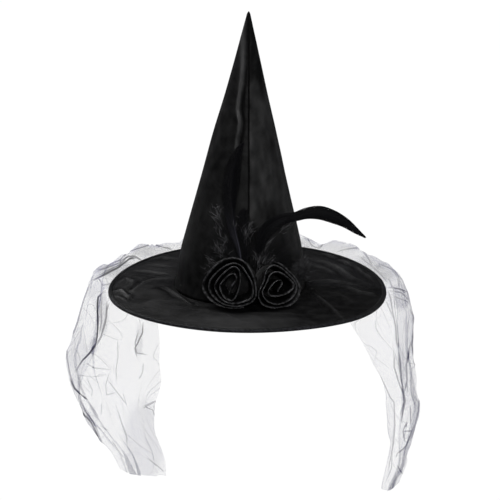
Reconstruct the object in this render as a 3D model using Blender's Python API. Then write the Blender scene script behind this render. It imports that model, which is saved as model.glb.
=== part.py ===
"""Witch hat with a net veil: a pointed satin crown on a round bound brim, two rolled satin
roses, two upright feathers, one curved feather, two fans of down and a gathered veil.

Metres, +Z up. The front faces -Y and +X is on the right of someone who looks at the front.
The origin is the middle of the head opening, half way through the brim's thickness.
"""

import math
from collections import namedtuple

import bmesh
import bpy
from mathutils import Matrix, Vector

# Main sizes
CROWN_HEIGHT = 0.380
CROWN_LEAN = 0.012
CROWN_WALL = 0.0015
FOOT_RADIUS = 0.0895
OPENING_RADIUS = FOOT_RADIUS - CROWN_WALL
RIM_RADIUS = 0.190
RIM_CENTRE_X = 0.010
BRIM_THICKNESS = 0.0025
TAPE_THICKNESS = 0.0008
TAPE_WIDTH = 0.0040
WIRE_BULGE = 0.0018
WIRE_FLAT = 0.4
GAP = 0.0003
BRIM_EDGE = RIM_RADIUS - WIRE_BULGE
BRIM_TOP = BRIM_THICKNESS / 2

# The crown's wall leans, so its foot keeps a little more than the gap to the brim
CROWN_FOOT = BRIM_TOP + 0.00065

# The brim hangs a little at its two sides and at the front right
SIDE_DROOP = 0.0055
FRONT_DROOP = 0.0040
FRONT_DROOP_AT = math.radians(-35)
FRONT_DROOP_SPREAD = math.radians(28)

# The crown is pieced: its front seam lies a little to the right of the middle
SEAM_AT = math.radians(-90 + 7.3)
SEAM_DEPTH = 0.0008
SEAM_FADE_RADIUS = 0.020
SEAM_TURNS = (-4.5, -1.4, 0, 1.4, 4.5)
CROWN_SIDES = 40
RIM_SIDES = 64
BRIM_SHARES = (0, 0.35, 0.7, 0.96, 1)

# Crown sections from the foot to the point
Section = namedtuple("Section", "height radius")
CROWN_SECTIONS = (
    Section(CROWN_FOOT, FOOT_RADIUS),
    Section(0.0140, 0.0872),
    Section(0.0340, 0.0852),
    Section(0.0540, 0.0826),
    Section(0.0900, 0.0737),
    Section(0.1500, 0.0586),
    Section(0.2300, 0.0385),
    Section(0.3100, 0.0184),
    Section(0.3680, 0.0042),
    Section(0.3770, 0.0021),
)

# Roses: each ring of the rolled band, from the heart outwards, in the rose's own plane
Ring = namedtuple("Ring", "x y half_width half_height turn rise")
LEFT_ROSE = (
    Ring(-0.0010, -0.0010, 0.0035, 0.0120, -14, 0.0270),
    Ring(-0.0010, -0.0010, 0.0090, 0.0180, -12, 0.0275),
    Ring(-0.0020, -0.0005, 0.0170, 0.0225, -6, 0.0255),
    Ring(0.0015, 0.0000, 0.0255, 0.0265, 0, 0.0220),
    Ring(0.0010, 0.0000, 0.0325, 0.0315, 0, 0.0175),
    Ring(0.0005, 0.0005, 0.0375, 0.0355, 0, 0.0120),
)
RIGHT_ROSE = (
    Ring(-0.0010, 0.0000, 0.0040, 0.0050, 20, 0.0250),
    Ring(0.0000, -0.0005, 0.0105, 0.0100, 12, 0.0260),
    Ring(0.0005, -0.0010, 0.0185, 0.0170, 6, 0.0235),
    Ring(0.0005, -0.0005, 0.0262, 0.0245, 0, 0.0190),
    Ring(0.0005, 0.0000, 0.0328, 0.0305, 0, 0.0130),
)
ROSE_TILT = math.radians(8)
ROSE_STANDOFF = 0.0050
ROSE_TOUCH_HEIGHT = 0.0540
ROSE_BAND = 0.0016
ROSE_START = math.radians(100)
ROSE_STEPS = 16

# A petal stands on the backing nearer the heart than its lip, and its middle is drawn in
PETAL_FOOT_SHARE = 0.74
PETAL_MIDDLE_AT = 0.55
PETAL_DRAWN_IN = 0.12
BACKING_THICKNESS = 0.0015
BACKING_SHARE = 0.86
BACKING_SIDES = 18

# Feathers: a station of the shaft, and how far the vane reaches to its left and right
Station = namedtuple("Station", "x z off left right")
TALL_FEATHER = (
    Station(0.0035, 0.0480, 0.0038, 0.0011, 0.0011),
    Station(0.0000, 0.0760, 0.0040, 0.0040, 0.0012),
    Station(-0.0060, 0.1020, 0.0043, 0.0085, 0.0016),
    Station(-0.0095, 0.1280, 0.0045, 0.0115, 0.0045),
    Station(-0.0105, 0.1550, 0.0046, 0.0125, 0.0105),
    Station(-0.0070, 0.1820, 0.0050, 0.0110, 0.0105),
    Station(0.0005, 0.2040, 0.0060, 0.0065, 0.0040),
    Station(0.0060, 0.2150, 0.0070, 0.0008, 0.0008),
)
SHORT_FEATHER = (
    Station(0.0090, 0.0500, 0.0038, 0.0010, 0.0010),
    Station(0.0100, 0.0800, 0.0040, 0.0035, 0.0030),
    Station(0.0115, 0.1020, 0.0042, 0.0070, 0.0050),
    Station(0.0130, 0.1200, 0.0044, 0.0060, 0.0035),
    Station(0.0145, 0.1290, 0.0050, 0.0008, 0.0008),
)
FEATHER_STEPS = 14
VANE_EDGE = 0.0004
SHAFT_HALF = 0.0011
SHAFT_SHOULDER = 0.0005
SHAFT_RISE = 0.0008
VANE_BACK = 0.0006
SHAFT_SAMPLE = 0.02

# The feathers face the front and a little up
FACING_UP = 0.25
FACING_RIGHT = 0.15

# The curved feather leaves the crown, so its stations are free points
Sweep = namedtuple("Sweep", "x y z left right")
CURVED_FEATHER = (
    Sweep(0.0235, -0.0818, 0.0480, 0.0011, 0.0011),
    Sweep(0.0245, -0.0800, 0.0620, 0.0013, 0.0013),
    Sweep(0.0262, -0.0790, 0.0753, 0.0032, 0.0032),
    Sweep(0.0289, -0.0780, 0.0929, 0.0052, 0.0050),
    Sweep(0.0354, -0.0770, 0.1043, 0.0062, 0.0060),
    Sweep(0.0453, -0.0760, 0.1123, 0.0064, 0.0062),
    Sweep(0.0585, -0.0740, 0.1179, 0.0060, 0.0058),
    Sweep(0.0737, -0.0710, 0.1188, 0.0062, 0.0060),
    Sweep(0.0890, -0.0670, 0.1220, 0.0078, 0.0072),
    Sweep(0.1063, -0.0630, 0.1215, 0.0092, 0.0086),
    Sweep(0.1236, -0.0600, 0.1151, 0.0088, 0.0082),
    Sweep(0.1398, -0.0570, 0.1060, 0.0068, 0.0062),
    Sweep(0.1547, -0.0540, 0.0940, 0.0042, 0.0038),
    Sweep(0.1696, -0.0520, 0.0828, 0.0006, 0.0006),
)
CURVED_STEPS = 26

# Down: locks that fan out over the crown from one root, clockwise
Lock = namedtuple("Lock", "heading length")
LEFT_DOWN_ROOT = (0.0010, 0.0600)
LEFT_DOWN = (
    Lock(168, 0.040),
    Lock(151, 0.052),
    Lock(136, 0.062),
    Lock(124, 0.074),
    Lock(113, 0.082),
    Lock(101, 0.064),
    Lock(84, 0.046),
    Lock(66, 0.034),
)
RIGHT_DOWN_ROOT = (0.0300, 0.0560)
RIGHT_DOWN = (
    Lock(91, 0.030),
    Lock(72, 0.046),
    Lock(53, 0.060),
    Lock(34, 0.055),
    Lock(15, 0.053),
    Lock(-4, 0.062),
    Lock(-20, 0.072),
)
DOWN_OFF = 0.0023
DOWN_SHARES = (0.12, 0.3, 0.5, 0.68, 0.84, 1)
DOWN_THICKNESS = 0.0010
DOWN_NOTCH = 0.62
CROWN_SIDE = math.radians(45)

# Veil: one gathered net, from the front edge of its left tail round the back to the right one.
# A column says where it leaves the rim, where it hangs at four depths, and how far it drops.
Column = namedtuple("Column", "steps rim crest lift at reach drop folds")
VEIL_DEPTHS = 0.080
VEIL_COLUMNS = (
    Column(0, 189, 0.197, 0.006, (184, 181, 179, 173), (0.206, 0.232, 0.214, 0.160), 0.284, 0.003),
    Column(6, 177, 0.207, 0.011, (177, 176, 174, 168), (0.243, 0.243, 0.209, 0.162), 0.300, 0.006),
    Column(8, 155, 0.206, 0.006, (156, 157, 156, 154), (0.230, 0.238, 0.212, 0.176), 0.322, 0.007),
    Column(6, 134, 0.204, 0.012, (133, 132, 134, 135), (0.194, 0.188, 0.188, 0.173), 0.338, 0.004),
    Column(3, 130, 0.204, 0.012, (130, 130, 132, 133), (0.196, 0.190, 0.188, 0.173), 0.112, 0.004),
    Column(8, 92, 0.206, 0.013, (92, 92, 92, 92), (0.213, 0.211, 0.209, 0.207), 0.104, 0.006),
    Column(8, 48, 0.206, 0.012, (44, 30, 20, 16), (0.203, 0.209, 0.216, 0.201), 0.110, 0.004),
    Column(3, 44, 0.206, 0.012, (41, 27, 17, 13), (0.200, 0.207, 0.214, 0.200), 0.328, 0.004),
    Column(6, 22, 0.207, 0.010, (18, 16, 13, 12), (0.226, 0.236, 0.240, 0.220), 0.328, 0.007),
    Column(7, 4, 0.206, 0.012, (5, 5, 5, 4), (0.226, 0.232, 0.232, 0.207), 0.322, 0.006),
    Column(5, -7, 0.197, 0.006, (-3, 0, 1, 2), (0.207, 0.216, 0.214, 0.200), 0.300, 0.003),
)
VEIL_THICKNESS = 0.0010
VEIL_ON_BRIM_ROWS = 4
VEIL_HANGING_ROWS = 11
VEIL_FOLDS = 15
VEIL_FOOT_CLEAR = 0.0020
VEIL_BRIM_CLEAR = GAP + 0.0001

# Folds lift the crest by this share of their depth, and reach their full depth a third of the
# way down. Just past the rim the net arches a little before it drops.
CREST_SHARE = 0.3
FOLDS_OPEN = 3
ARCH = 0.06
ARCH_ENDS = 4


def blend(a, b, share):
    return a + (b - a) * share


def smooth_through(values, place):
    """The value at a place from 0 to len(values) - 1 on a smooth curve through the values."""
    last = len(values) - 1
    k = min(max(int(place), 0), last - 1)
    share = place - k
    before, a = values[max(k - 1, 0)], values[k]
    b, after = values[k + 1], values[min(k + 2, last)]
    return 0.5 * (
        2 * a
        + (b - before) * share
        + (2 * before - 5 * a + 4 * b - after) * share**2
        + (3 * (a - b) + after - before) * share**3
    )


def crown_radius(height):
    """Outer radius of the crown at a height, straight between its sections."""
    for low, high in zip(CROWN_SECTIONS, CROWN_SECTIONS[1:]):
        if height <= high.height:
            share = (height - low.height) / (high.height - low.height)
            return blend(low.radius, high.radius, share)
    return 0.0


def crown_axis_x(height):
    return CROWN_LEAN * height / CROWN_HEIGHT


def on_crown_front(x, height, off):
    """A point that stands off the crown's front by off, at that x and height."""
    reach = crown_radius(height) + off
    across = x - crown_axis_x(height)
    return Vector((x, -math.sqrt(max(reach**2 - across**2, 0)), height))


def off_crown_side(x, height, off):
    """As on_crown_front, but going straight on where the crown turns away to its right side."""
    reach = crown_radius(height) + off
    turn_at = crown_axis_x(height) + reach * math.sin(CROWN_SIDE)
    if x <= turn_at:
        return on_crown_front(x, height, off)
    return on_crown_front(turn_at, height, off) + Vector((1, math.tan(CROWN_SIDE), 0)) * (x - turn_at)


def brim_droop(angle):
    """How far the rim lies below the opening, round the brim."""
    sides = SIDE_DROOP * abs(math.cos(angle)) ** 4
    turned = math.remainder(angle - FRONT_DROOP_AT, 2 * math.pi)
    front = FRONT_DROOP * math.exp(-((turned / FRONT_DROOP_SPREAD) ** 2))
    return sides + front


def brim_point(angle, share, extra=0.0):
    """Middle of the brim's cloth, from share 0 at the opening to 1 at the edge, and extra past it."""
    inner = Vector((math.cos(angle), math.sin(angle), 0)) * OPENING_RADIUS
    outward = Vector((math.cos(angle), math.sin(angle), 0))
    outer = Vector((RIM_CENTRE_X, 0, 0)) + outward * BRIM_EDGE
    point = inner.lerp(outer, share) + outward * extra
    point.z = -brim_droop(angle) * max(share + extra / (BRIM_EDGE - OPENING_RADIUS), 0) ** 2
    return point


def cloth_material(name, colour, roughness, metallic=0.0):
    material = bpy.data.materials.new(name)
    material.use_nodes = True
    shader = material.node_tree.nodes["Principled BSDF"]
    shader.inputs["Base Color"].default_value = (*colour, 1)
    shader.inputs["Roughness"].default_value = roughness
    shader.inputs["Metallic"].default_value = metallic
    return material


def add_object(name, mesh, material, parent):
    mesh.materials.append(material)
    mesh.shade_smooth()
    mesh.set_sharp_from_angle(angle=math.radians(50))
    obj = bpy.data.objects.new(name, mesh)
    obj.parent = parent
    bpy.context.scene.collection.objects.link(obj)
    return obj


def grid_mesh(name, rows, wrap):
    """A sheet of quads through rows of points, closed round each row where wrap is true."""
    made = bmesh.new()
    grid = [[made.verts.new(point) for point in row] for row in rows]
    width = len(rows[0])
    for lower, upper in zip(grid, grid[1:]):
        for k in range(width if wrap else width - 1):
            n = (k + 1) % width
            made.faces.new((lower[k], lower[n], upper[n], upper[k]))
    return made, grid


def finish_mesh(name, made):
    mesh = bpy.data.meshes.new(name)
    made.to_mesh(mesh)
    made.free()
    return mesh


def thicken(obj, thickness, offset, even=True):
    wall = obj.modifiers.new("Wall", "SOLIDIFY")
    wall.thickness = thickness
    wall.offset = offset
    wall.use_even_offset = even


def build_crown(parent, satin):
    """The cone: rings of cloth up to the point, with the front seam pressed in."""
    near_seam = [math.radians(turn) for turn in SEAM_TURNS]
    rest = CROWN_SIDES - len(near_seam)
    step = (2 * math.pi - 2 * near_seam[-1]) / (rest + 1)
    turns = near_seam + [near_seam[-1] + step * (k + 1) for k in range(rest)]
    rows = []
    for section in CROWN_SECTIONS:
        pressed = SEAM_DEPTH * min(section.radius / SEAM_FADE_RADIUS, 1)
        row = []
        for turn in turns:
            radius = section.radius - (pressed if turn == 0 else 0)
            angle = SEAM_AT + turn
            x = crown_axis_x(section.height) + radius * math.cos(angle)
            row.append((x, radius * math.sin(angle), section.height))
        rows.append(row)
    made, grid = grid_mesh("crown", rows, wrap=True)
    point = made.verts.new((CROWN_LEAN, 0, CROWN_HEIGHT))
    top = grid[-1]
    for k, corner in enumerate(top):
        made.faces.new((corner, top[(k + 1) % len(top)], point))
    crown = add_object("crown", finish_mesh("crown", made), satin, parent)
    thicken(crown, CROWN_WALL, -1)
    return crown


def ring_mesh(name, section_of):
    """A closed ring swept round the brim through the section that each angle gives."""
    rows = [section_of(2 * math.pi * k / RIM_SIDES) for k in range(RIM_SIDES)]
    made, grid = grid_mesh(name, rows, wrap=True)
    for k in range(len(rows[0])):
        n = (k + 1) % len(rows[0])
        made.faces.new((grid[-1][k], grid[-1][n], grid[0][n], grid[0][k]))
    return finish_mesh(name, made)


def build_brim(parent, satin):
    """The padded disc with the round opening."""
    up = Vector((0, 0, BRIM_THICKNESS / 2))

    def section(angle):
        top = [brim_point(angle, share) + up for share in BRIM_SHARES]
        return top + [point - 2 * up for point in reversed(top)]

    return add_object("brim", ring_mesh("brim", section), satin, parent)


def build_binding(parent, tape):
    """The bias tape that wraps the brim's wired edge: a U section swept round the rim."""
    inner = BRIM_TOP + GAP
    outer = inner + TAPE_THICKNESS
    flat = outer * WIRE_FLAT
    profile = (
        (-TAPE_WIDTH, outer),
        (GAP, outer),
        (WIRE_BULGE, flat),
        (WIRE_BULGE, -flat),
        (GAP, -outer),
        (-TAPE_WIDTH, -outer),
        (-TAPE_WIDTH, -inner),
        (GAP, -inner),
        (GAP, inner),
        (-TAPE_WIDTH, inner),
    )

    def section(angle):
        return [brim_point(angle, 1, out) + Vector((0, 0, up)) for out, up in profile]

    return add_object("brim_binding", ring_mesh("brim_binding", section), tape, parent)


def rose_band(rings):
    """The rolled band: rows of points from its foot on the backing to its folded lip."""
    turns = len(rings) - 1
    columns = []
    for k in range(turns * ROSE_STEPS + 1):
        place = k / ROSE_STEPS
        x, y, half_width, half_height, turn, rise = (
            smooth_through([ring[field] for ring in rings], place) for field in range(6)
        )
        angle = 2 * math.pi * place + ROSE_START
        lean = math.radians(turn)
        across, up = half_width * math.cos(angle), half_height * math.sin(angle)
        lip = Vector((across * math.cos(lean) - up * math.sin(lean) + x,
                      across * math.sin(lean) + up * math.cos(lean) + y, rise))
        foot = Vector((lip.x * PETAL_FOOT_SHARE, lip.y * PETAL_FOOT_SHARE, BACKING_THICKNESS / 2))
        middle = foot.lerp(lip, PETAL_MIDDLE_AT)
        middle -= Vector((lip.x - foot.x, lip.y - foot.y, 0)) * PETAL_DRAWN_IN
        columns.append((foot, middle, lip))
    return list(zip(*columns))


def build_rose(name, rings, turn, shift, parent, satin):
    """A rolled satin rose on its round backing, standing off the crown and resting on the brim."""
    made, _ = grid_mesh(name, rose_band(rings), wrap=False)
    rose = add_object(name, finish_mesh(name, made), satin, parent)
    thicken(rose, ROSE_BAND, 0)

    disc = bmesh.new()
    outer = rings[-1]
    bmesh.ops.create_cone(
        disc, cap_ends=True, segments=BACKING_SIDES, radius1=1, radius2=1, depth=BACKING_THICKNESS
    )
    size = (outer.half_width * BACKING_SHARE, outer.half_height * BACKING_SHARE, 1)
    bmesh.ops.scale(disc, vec=size, verts=disc.verts)
    backing = add_object(name + "_backing", finish_mesh(name + "_backing", disc), satin, parent)
    backing.parent = rose
    backing.location.z = BACKING_THICKNESS / 2
    backing.hide_render = True
    backing.display_type = "WIRE"
    join = rose.modifiers.new("Backing", "BOOLEAN")
    join.operation = "UNION"
    join.solver = "EXACT"
    join.object = backing

    # The rose's own +Z points away from the crown and a little up
    facing = Matrix.Rotation(turn, 4, "Z") @ Matrix.Rotation(math.pi / 2 - ROSE_TILT, 4, "X")
    beside = Vector((math.sin(turn), -math.cos(turn), 0))
    sideways = Vector((math.cos(turn), math.sin(turn), 0)) * shift
    seat = beside * (crown_radius(ROSE_TOUCH_HEIGHT) + ROSE_STANDOFF) + sideways
    seat += Vector((crown_axis_x(ROSE_TOUCH_HEIGHT), 0, ROSE_TOUCH_HEIGHT))
    along = facing.to_3x3() @ Vector((0, 1, 0))
    rise = rings[-1].half_height - ROSE_TOUCH_HEIGHT
    rose.matrix_basis = Matrix.Translation(seat + along * rise / along.z) @ facing

    # Let it down until its lowest petal rests on the brim
    bpy.context.view_layer.update()
    shown = rose.evaluated_get(bpy.context.evaluated_depsgraph_get())
    lowest = min((shown.matrix_world @ corner.co).z for corner in shown.data.vertices)
    rose.location += along * (BRIM_TOP + GAP - lowest) / along.z
    return rose


def vane_section(left, right):
    """A feather's section: thin edges and a raised shaft, as (across, out)."""
    shaft = min(left, right, SHAFT_HALF)
    return (
        (-left, VANE_EDGE),
        (-shaft, SHAFT_SHOULDER),
        (0, SHAFT_RISE),
        (shaft, SHAFT_SHOULDER),
        (right, VANE_EDGE),
        (right, -VANE_EDGE),
        (0, -VANE_BACK),
        (-left, -VANE_EDGE),
    )


def build_feather(name, shaft, steps, outward_of, parent, plume):
    """A flat feather lofted along its shaft, given as (point, left, right) at a place from 0 to 1."""
    rows = []
    for k in range(steps + 1):
        place = k / steps
        point, left, right = shaft(place)
        ahead = shaft(min(place + SHAFT_SAMPLE, 1))[0] - shaft(max(place - SHAFT_SAMPLE, 0))[0]
        outward = outward_of(point)
        across = ahead.cross(outward).normalized()
        facing = across.cross(ahead).normalized()
        rows.append([point + across * a + facing * o for a, o in vane_section(left, right)])
    made, grid = grid_mesh(name, rows, wrap=True)
    made.faces.new(reversed(grid[0]))
    made.faces.new(grid[-1])
    bmesh.ops.recalc_face_normals(made, faces=made.faces)
    return add_object(name, finish_mesh(name, made), plume, parent)


def station_at(stations, place):
    """The five values of a feather's stations at a place from 0 to 1."""
    spot = place * (len(stations) - 1)
    return [smooth_through([station[field] for station in stations], spot) for field in range(5)]


def crown_feather_shaft(stations):
    """The shaft of a feather that lies against the crown's front."""

    def shaft(place):
        x, height, off, left, right = station_at(stations, place)
        return on_crown_front(x, height, off), left, right

    return shaft


def free_feather_shaft(stations):
    """The shaft of a feather whose stations are free points."""

    def shaft(place):
        x, y, z, left, right = station_at(stations, place)
        return Vector((x, y, z)), left, right

    return shaft


def away_from_crown(point):
    out = point.x - crown_axis_x(point.z)
    return Vector((out, point.y, abs(point.y) * FACING_UP)).normalized()


def towards_front(point):
    return Vector((FACING_RIGHT, -1, FACING_UP)).normalized()


def build_down(name, root, locks, parent, plume):
    """A fan of downy locks over the crown: a tip for each lock and a notch between two."""
    spokes = []
    for k, lock in enumerate(locks):
        spokes.append((lock.heading, lock.length))
        if k + 1 < len(locks):
            after = locks[k + 1]
            heading = (lock.heading + after.heading) / 2
            spokes.append((heading, (lock.length + after.length) / 2 * DOWN_NOTCH))
    rows = []
    for share in DOWN_SHARES:
        row = []
        for heading, length in spokes:
            turned = math.radians(heading)
            x = root[0] + math.cos(turned) * length * share
            height = root[1] + math.sin(turned) * length * share
            row.append(off_crown_side(x, height, DOWN_OFF))
        rows.append(row)
    made, grid = grid_mesh(name, rows, wrap=False)
    made.faces.new(reversed([made.verts.new(on_crown_front(*root, DOWN_OFF)), *reversed(grid[0])]))
    bmesh.ops.recalc_face_normals(made, faces=made.faces)
    down = add_object(name, finish_mesh(name, made), plume, parent)
    thicken(down, DOWN_THICKNESS, 0, even=False)
    return down


def veil_column(place):
    """The veil's column at a place from 0 to its last one, blended between its neighbours."""
    last = len(VEIL_COLUMNS) - 1
    k = min(int(place), last - 1)
    a, b, share = VEIL_COLUMNS[k], VEIL_COLUMNS[k + 1], place - k
    eased = share * share * (3 - 2 * share)
    return (
        blend(a.rim, b.rim, share),
        blend(a.crest, b.crest, eased),
        blend(a.lift, b.lift, eased),
        [blend(p, q, share) for p, q in zip((a.rim, *a.at), (b.rim, *b.at))],
        [blend(p, q, eased) for p, q in zip((a.crest, *a.reach), (b.crest, *b.reach))],
        blend(a.drop, b.drop, share),
        blend(a.folds, b.folds, eased),
    )


def veil_point(place, down):
    """A point of the veil: down runs from -1 at the crown, by 0 over the rim, to 1 at the hem."""
    rim, crest, lift, at, reach, drop, folds = veil_column(place)
    wave = math.sin(2 * math.pi * VEIL_FOLDS * place / (len(VEIL_COLUMNS) - 1))
    if down < 0:
        share = 1 + down
        angle = math.radians(rim)
        foot = Vector((math.cos(angle), math.sin(angle), 0)) * (FOOT_RADIUS + VEIL_FOOT_CLEAR)
        edge = Vector((RIM_CENTRE_X + crest * math.cos(angle), crest * math.sin(angle), 0))
        point = foot.lerp(edge, share)
        rise = (lift + CREST_SHARE * folds * (1 + wave) - brim_droop(angle)) * share**2
        point.z = BRIM_TOP + VEIL_BRIM_CLEAR + VEIL_THICKNESS / 2 + rise
        return point
    level = down * drop / VEIL_DEPTHS
    angle = math.radians(smooth_through(at, level))
    reached = smooth_through(reach, level) + folds * wave * min(down * FOLDS_OPEN, 1)
    top = BRIM_TOP + lift + CREST_SHARE * folds * (1 + wave) - brim_droop(math.radians(rim))
    arch = ARCH * math.sin(math.pi * min(down * ARCH_ENDS, 1))
    height = top + VEIL_THICKNESS / 2 - drop * (down - arch)
    return Vector((RIM_CENTRE_X + reached * math.cos(angle), reached * math.sin(angle), height))


def build_veil(parent, net):
    """The gathered net: it lies on the brim's back, goes over the rim and hangs as two tails."""
    places = [0.0]
    for k, column in enumerate(VEIL_COLUMNS[1:]):
        places += [k + (n + 1) / column.steps for n in range(column.steps)]
    downs = [-1 + k / VEIL_ON_BRIM_ROWS for k in range(VEIL_ON_BRIM_ROWS)]
    downs += [k / VEIL_HANGING_ROWS for k in range(VEIL_HANGING_ROWS + 1)]
    rows = [[veil_point(place, down) for place in places] for down in downs]
    made, _ = grid_mesh("veil", rows, wrap=False)
    veil = add_object("veil", finish_mesh("veil", made), net, parent)
    thicken(veil, VEIL_THICKNESS, 0, even=False)
    return veil


def main():
    for obj in list(bpy.data.objects):
        bpy.data.objects.remove(obj, do_unlink=True)
    hat = bpy.data.objects.new("hat", None)
    bpy.context.scene.collection.objects.link(hat)

    satin = cloth_material("black_satin", (0.012, 0.012, 0.013), 0.38)
    tape = cloth_material("bias_tape", (0.010, 0.010, 0.011), 0.45)
    rose_satin = cloth_material("rose_satin", (0.010, 0.010, 0.011), 0.32)
    plume = cloth_material("black_feather", (0.008, 0.008, 0.011), 0.50)
    net = cloth_material("black_net", (0.020, 0.020, 0.024), 0.60)

    build_crown(hat, satin)
    build_brim(hat, satin)
    build_binding(hat, tape)
    build_rose("rose_left", LEFT_ROSE, math.radians(-8), -0.0025, hat, rose_satin)
    build_rose("rose_right", RIGHT_ROSE, math.radians(25), 0.0065, hat, rose_satin)
    build_down("down_left", LEFT_DOWN_ROOT, LEFT_DOWN, hat, plume)
    build_down("down_right", RIGHT_DOWN_ROOT, RIGHT_DOWN, hat, plume)
    build_feather(
        "feather_tall", crown_feather_shaft(TALL_FEATHER), FEATHER_STEPS, away_from_crown, hat, plume
    )
    build_feather(
        "feather_short", crown_feather_shaft(SHORT_FEATHER), FEATHER_STEPS, away_from_crown, hat, plume
    )
    build_feather(
        "feather_curved", free_feather_shaft(CURVED_FEATHER), CURVED_STEPS, towards_front, hat, plume
    )
    build_veil(hat, net)


main()
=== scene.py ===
import math
from contextlib import contextmanager

import bmesh
import bpy
import numpy as np
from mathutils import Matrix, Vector, noise


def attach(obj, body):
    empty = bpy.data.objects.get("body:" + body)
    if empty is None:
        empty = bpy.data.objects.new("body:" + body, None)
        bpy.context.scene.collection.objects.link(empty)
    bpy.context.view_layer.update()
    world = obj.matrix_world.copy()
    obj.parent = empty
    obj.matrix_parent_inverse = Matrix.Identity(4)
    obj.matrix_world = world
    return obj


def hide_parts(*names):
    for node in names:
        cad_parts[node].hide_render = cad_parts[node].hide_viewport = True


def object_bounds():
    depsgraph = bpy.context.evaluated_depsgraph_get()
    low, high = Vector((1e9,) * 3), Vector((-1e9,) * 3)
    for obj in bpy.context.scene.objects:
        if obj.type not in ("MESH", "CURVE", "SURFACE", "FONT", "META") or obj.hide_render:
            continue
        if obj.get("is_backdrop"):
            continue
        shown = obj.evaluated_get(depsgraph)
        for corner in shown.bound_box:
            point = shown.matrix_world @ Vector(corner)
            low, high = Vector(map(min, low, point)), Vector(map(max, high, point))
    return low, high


# Witch hat with a net veil: satin crown and brim, bound rim, two rolled roses, feathers, down, net.
# Metres, +Z up, the front faces -Y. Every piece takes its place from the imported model.
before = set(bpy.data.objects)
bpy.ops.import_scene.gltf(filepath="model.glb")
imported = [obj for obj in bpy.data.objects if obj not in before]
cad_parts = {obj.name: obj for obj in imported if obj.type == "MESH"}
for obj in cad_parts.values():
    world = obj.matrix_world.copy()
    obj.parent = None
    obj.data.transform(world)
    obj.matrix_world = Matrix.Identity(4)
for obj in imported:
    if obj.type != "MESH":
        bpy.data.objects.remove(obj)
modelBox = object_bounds()
print("frame loaded:", sorted(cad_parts))

# The photograph's view, from which the camera and the places of its creases are worked out
photo = {
    "pixels": 500,
    "eye": (0.01368, -2.8501, 0.93646),
    "down": 17.264,     # degrees
    "lens": 158.05,     # millimetres
    "sensor": 36.0,
    "across": 0.00136,  # metres to a pixel at the hat, sideways and up
    "upward": 0.00142,
}

# The hat's driving sizes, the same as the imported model's
hat = {
    "height": 0.380,
    "lean": 0.012,
    "footRadius": 0.0895,
    "wall": 0.0015,
    "rimRadius": 0.190,
    "rimCentre": 0.010,
    "brimThick": 0.0025,
    "wireBulge": 0.0018,
    "gap": 0.0003,
    "seamAt": math.radians(-90 + 7.3),
    "sections": ((0.0013, 0.0895), (0.014, 0.0872), (0.034, 0.0852), (0.054, 0.0826), (0.090, 0.0737),
                 (0.150, 0.0586), (0.230, 0.0385), (0.310, 0.0184), (0.368, 0.0042), (0.377, 0.0021)),
}
brimTop = hat["brimThick"] / 2
brimEdge = hat["rimRadius"] - hat["wireBulge"]


# Small maths
def blendTo(a, b, share):
    return a + (b - a) * share


def easeShare(share):
    share = np.clip(share, 0, 1)
    return share * share * (3 - 2 * share)


def runOf(steps):
    # how far along, from 0, after each step
    return np.concatenate([[0], np.cumsum(steps)])


def bell(distance, width):
    return np.exp(-(distance / width) ** 2)


def through(values, place):
    # a smooth curve through the values, read at places from 0 to len(values) - 1
    values = [np.asarray(v, float) for v in values]
    place = np.asarray(place, float)
    last = len(values) - 1
    stack = np.stack([values[0], *values, values[-1]])
    k = np.clip(place.astype(int), 0, last - 1)
    share = place - k
    pick = lambda n: stack[k + n] if stack.ndim == 1 else stack[k + n, np.arange(stack.shape[1])]
    p0, p1, p2, p3 = pick(0), pick(1), pick(2), pick(3)
    return 0.5 * (2 * p1 + (p2 - p0) * share + (2 * p0 - 5 * p1 + 4 * p2 - p3) * share ** 2
                  + (3 * (p1 - p2) + p3 - p0) * share ** 3)


def cloudAt(points, size, seed=0, octaves=1):
    # smooth noise from about -1 to 1 over lumps of that size
    flat = np.asarray(points, float).reshape(-1, 3) / size + seed * 7.31
    total = np.zeros(len(flat))
    for octave in range(octaves):
        step = 2 ** octave
        total += np.fromiter((noise.noise(Vector(p)) for p in flat * step), float, len(flat)) / step
    return total.reshape(np.asarray(points).shape[:-1])


def cloudOn(u, v, seed=0, octaves=1):
    u, v = np.broadcast_arrays(u, v)
    return cloudAt(np.stack([u, v, np.full(u.shape, 0.37)], -1), 1.0, seed, octaves)


# The photograph's rays
halfView = photo["sensor"] / (2 * photo["lens"])
viewDown = math.radians(photo["down"])
viewEye = np.array(photo["eye"])
viewAhead = np.array((0, math.cos(viewDown), -math.sin(viewDown)))
viewUp = np.array((0, math.sin(viewDown), math.cos(viewDown)))
viewRight = np.array((1.0, 0, 0))


def inPhoto(points):
    # the photograph's pixel of each point
    away = np.asarray(points, float) - viewEye
    depth = away @ viewAhead
    x = (away @ viewRight / depth / halfView + 1) / 2 * photo["pixels"]
    y = (1 - away @ viewUp / depth / halfView) / 2 * photo["pixels"]
    return np.stack([x, y], -1)


def photoRay(px, py):
    x = (np.asarray(px) / photo["pixels"] * 2 - 1) * halfView
    y = (1 - np.asarray(py) / photo["pixels"] * 2) * halfView
    return viewAhead + viewRight * x[..., None] + viewUp * y[..., None]


def fromPhoto(px, py, height):
    # where a pixel's ray meets that height
    ray = photoRay(px, py)
    return viewEye + ray * ((height - viewEye[2]) / ray[2])


def pairs(numbers):
    # x, y, x, y, ... as points
    return np.reshape(numbers, (-1, 2))


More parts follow.
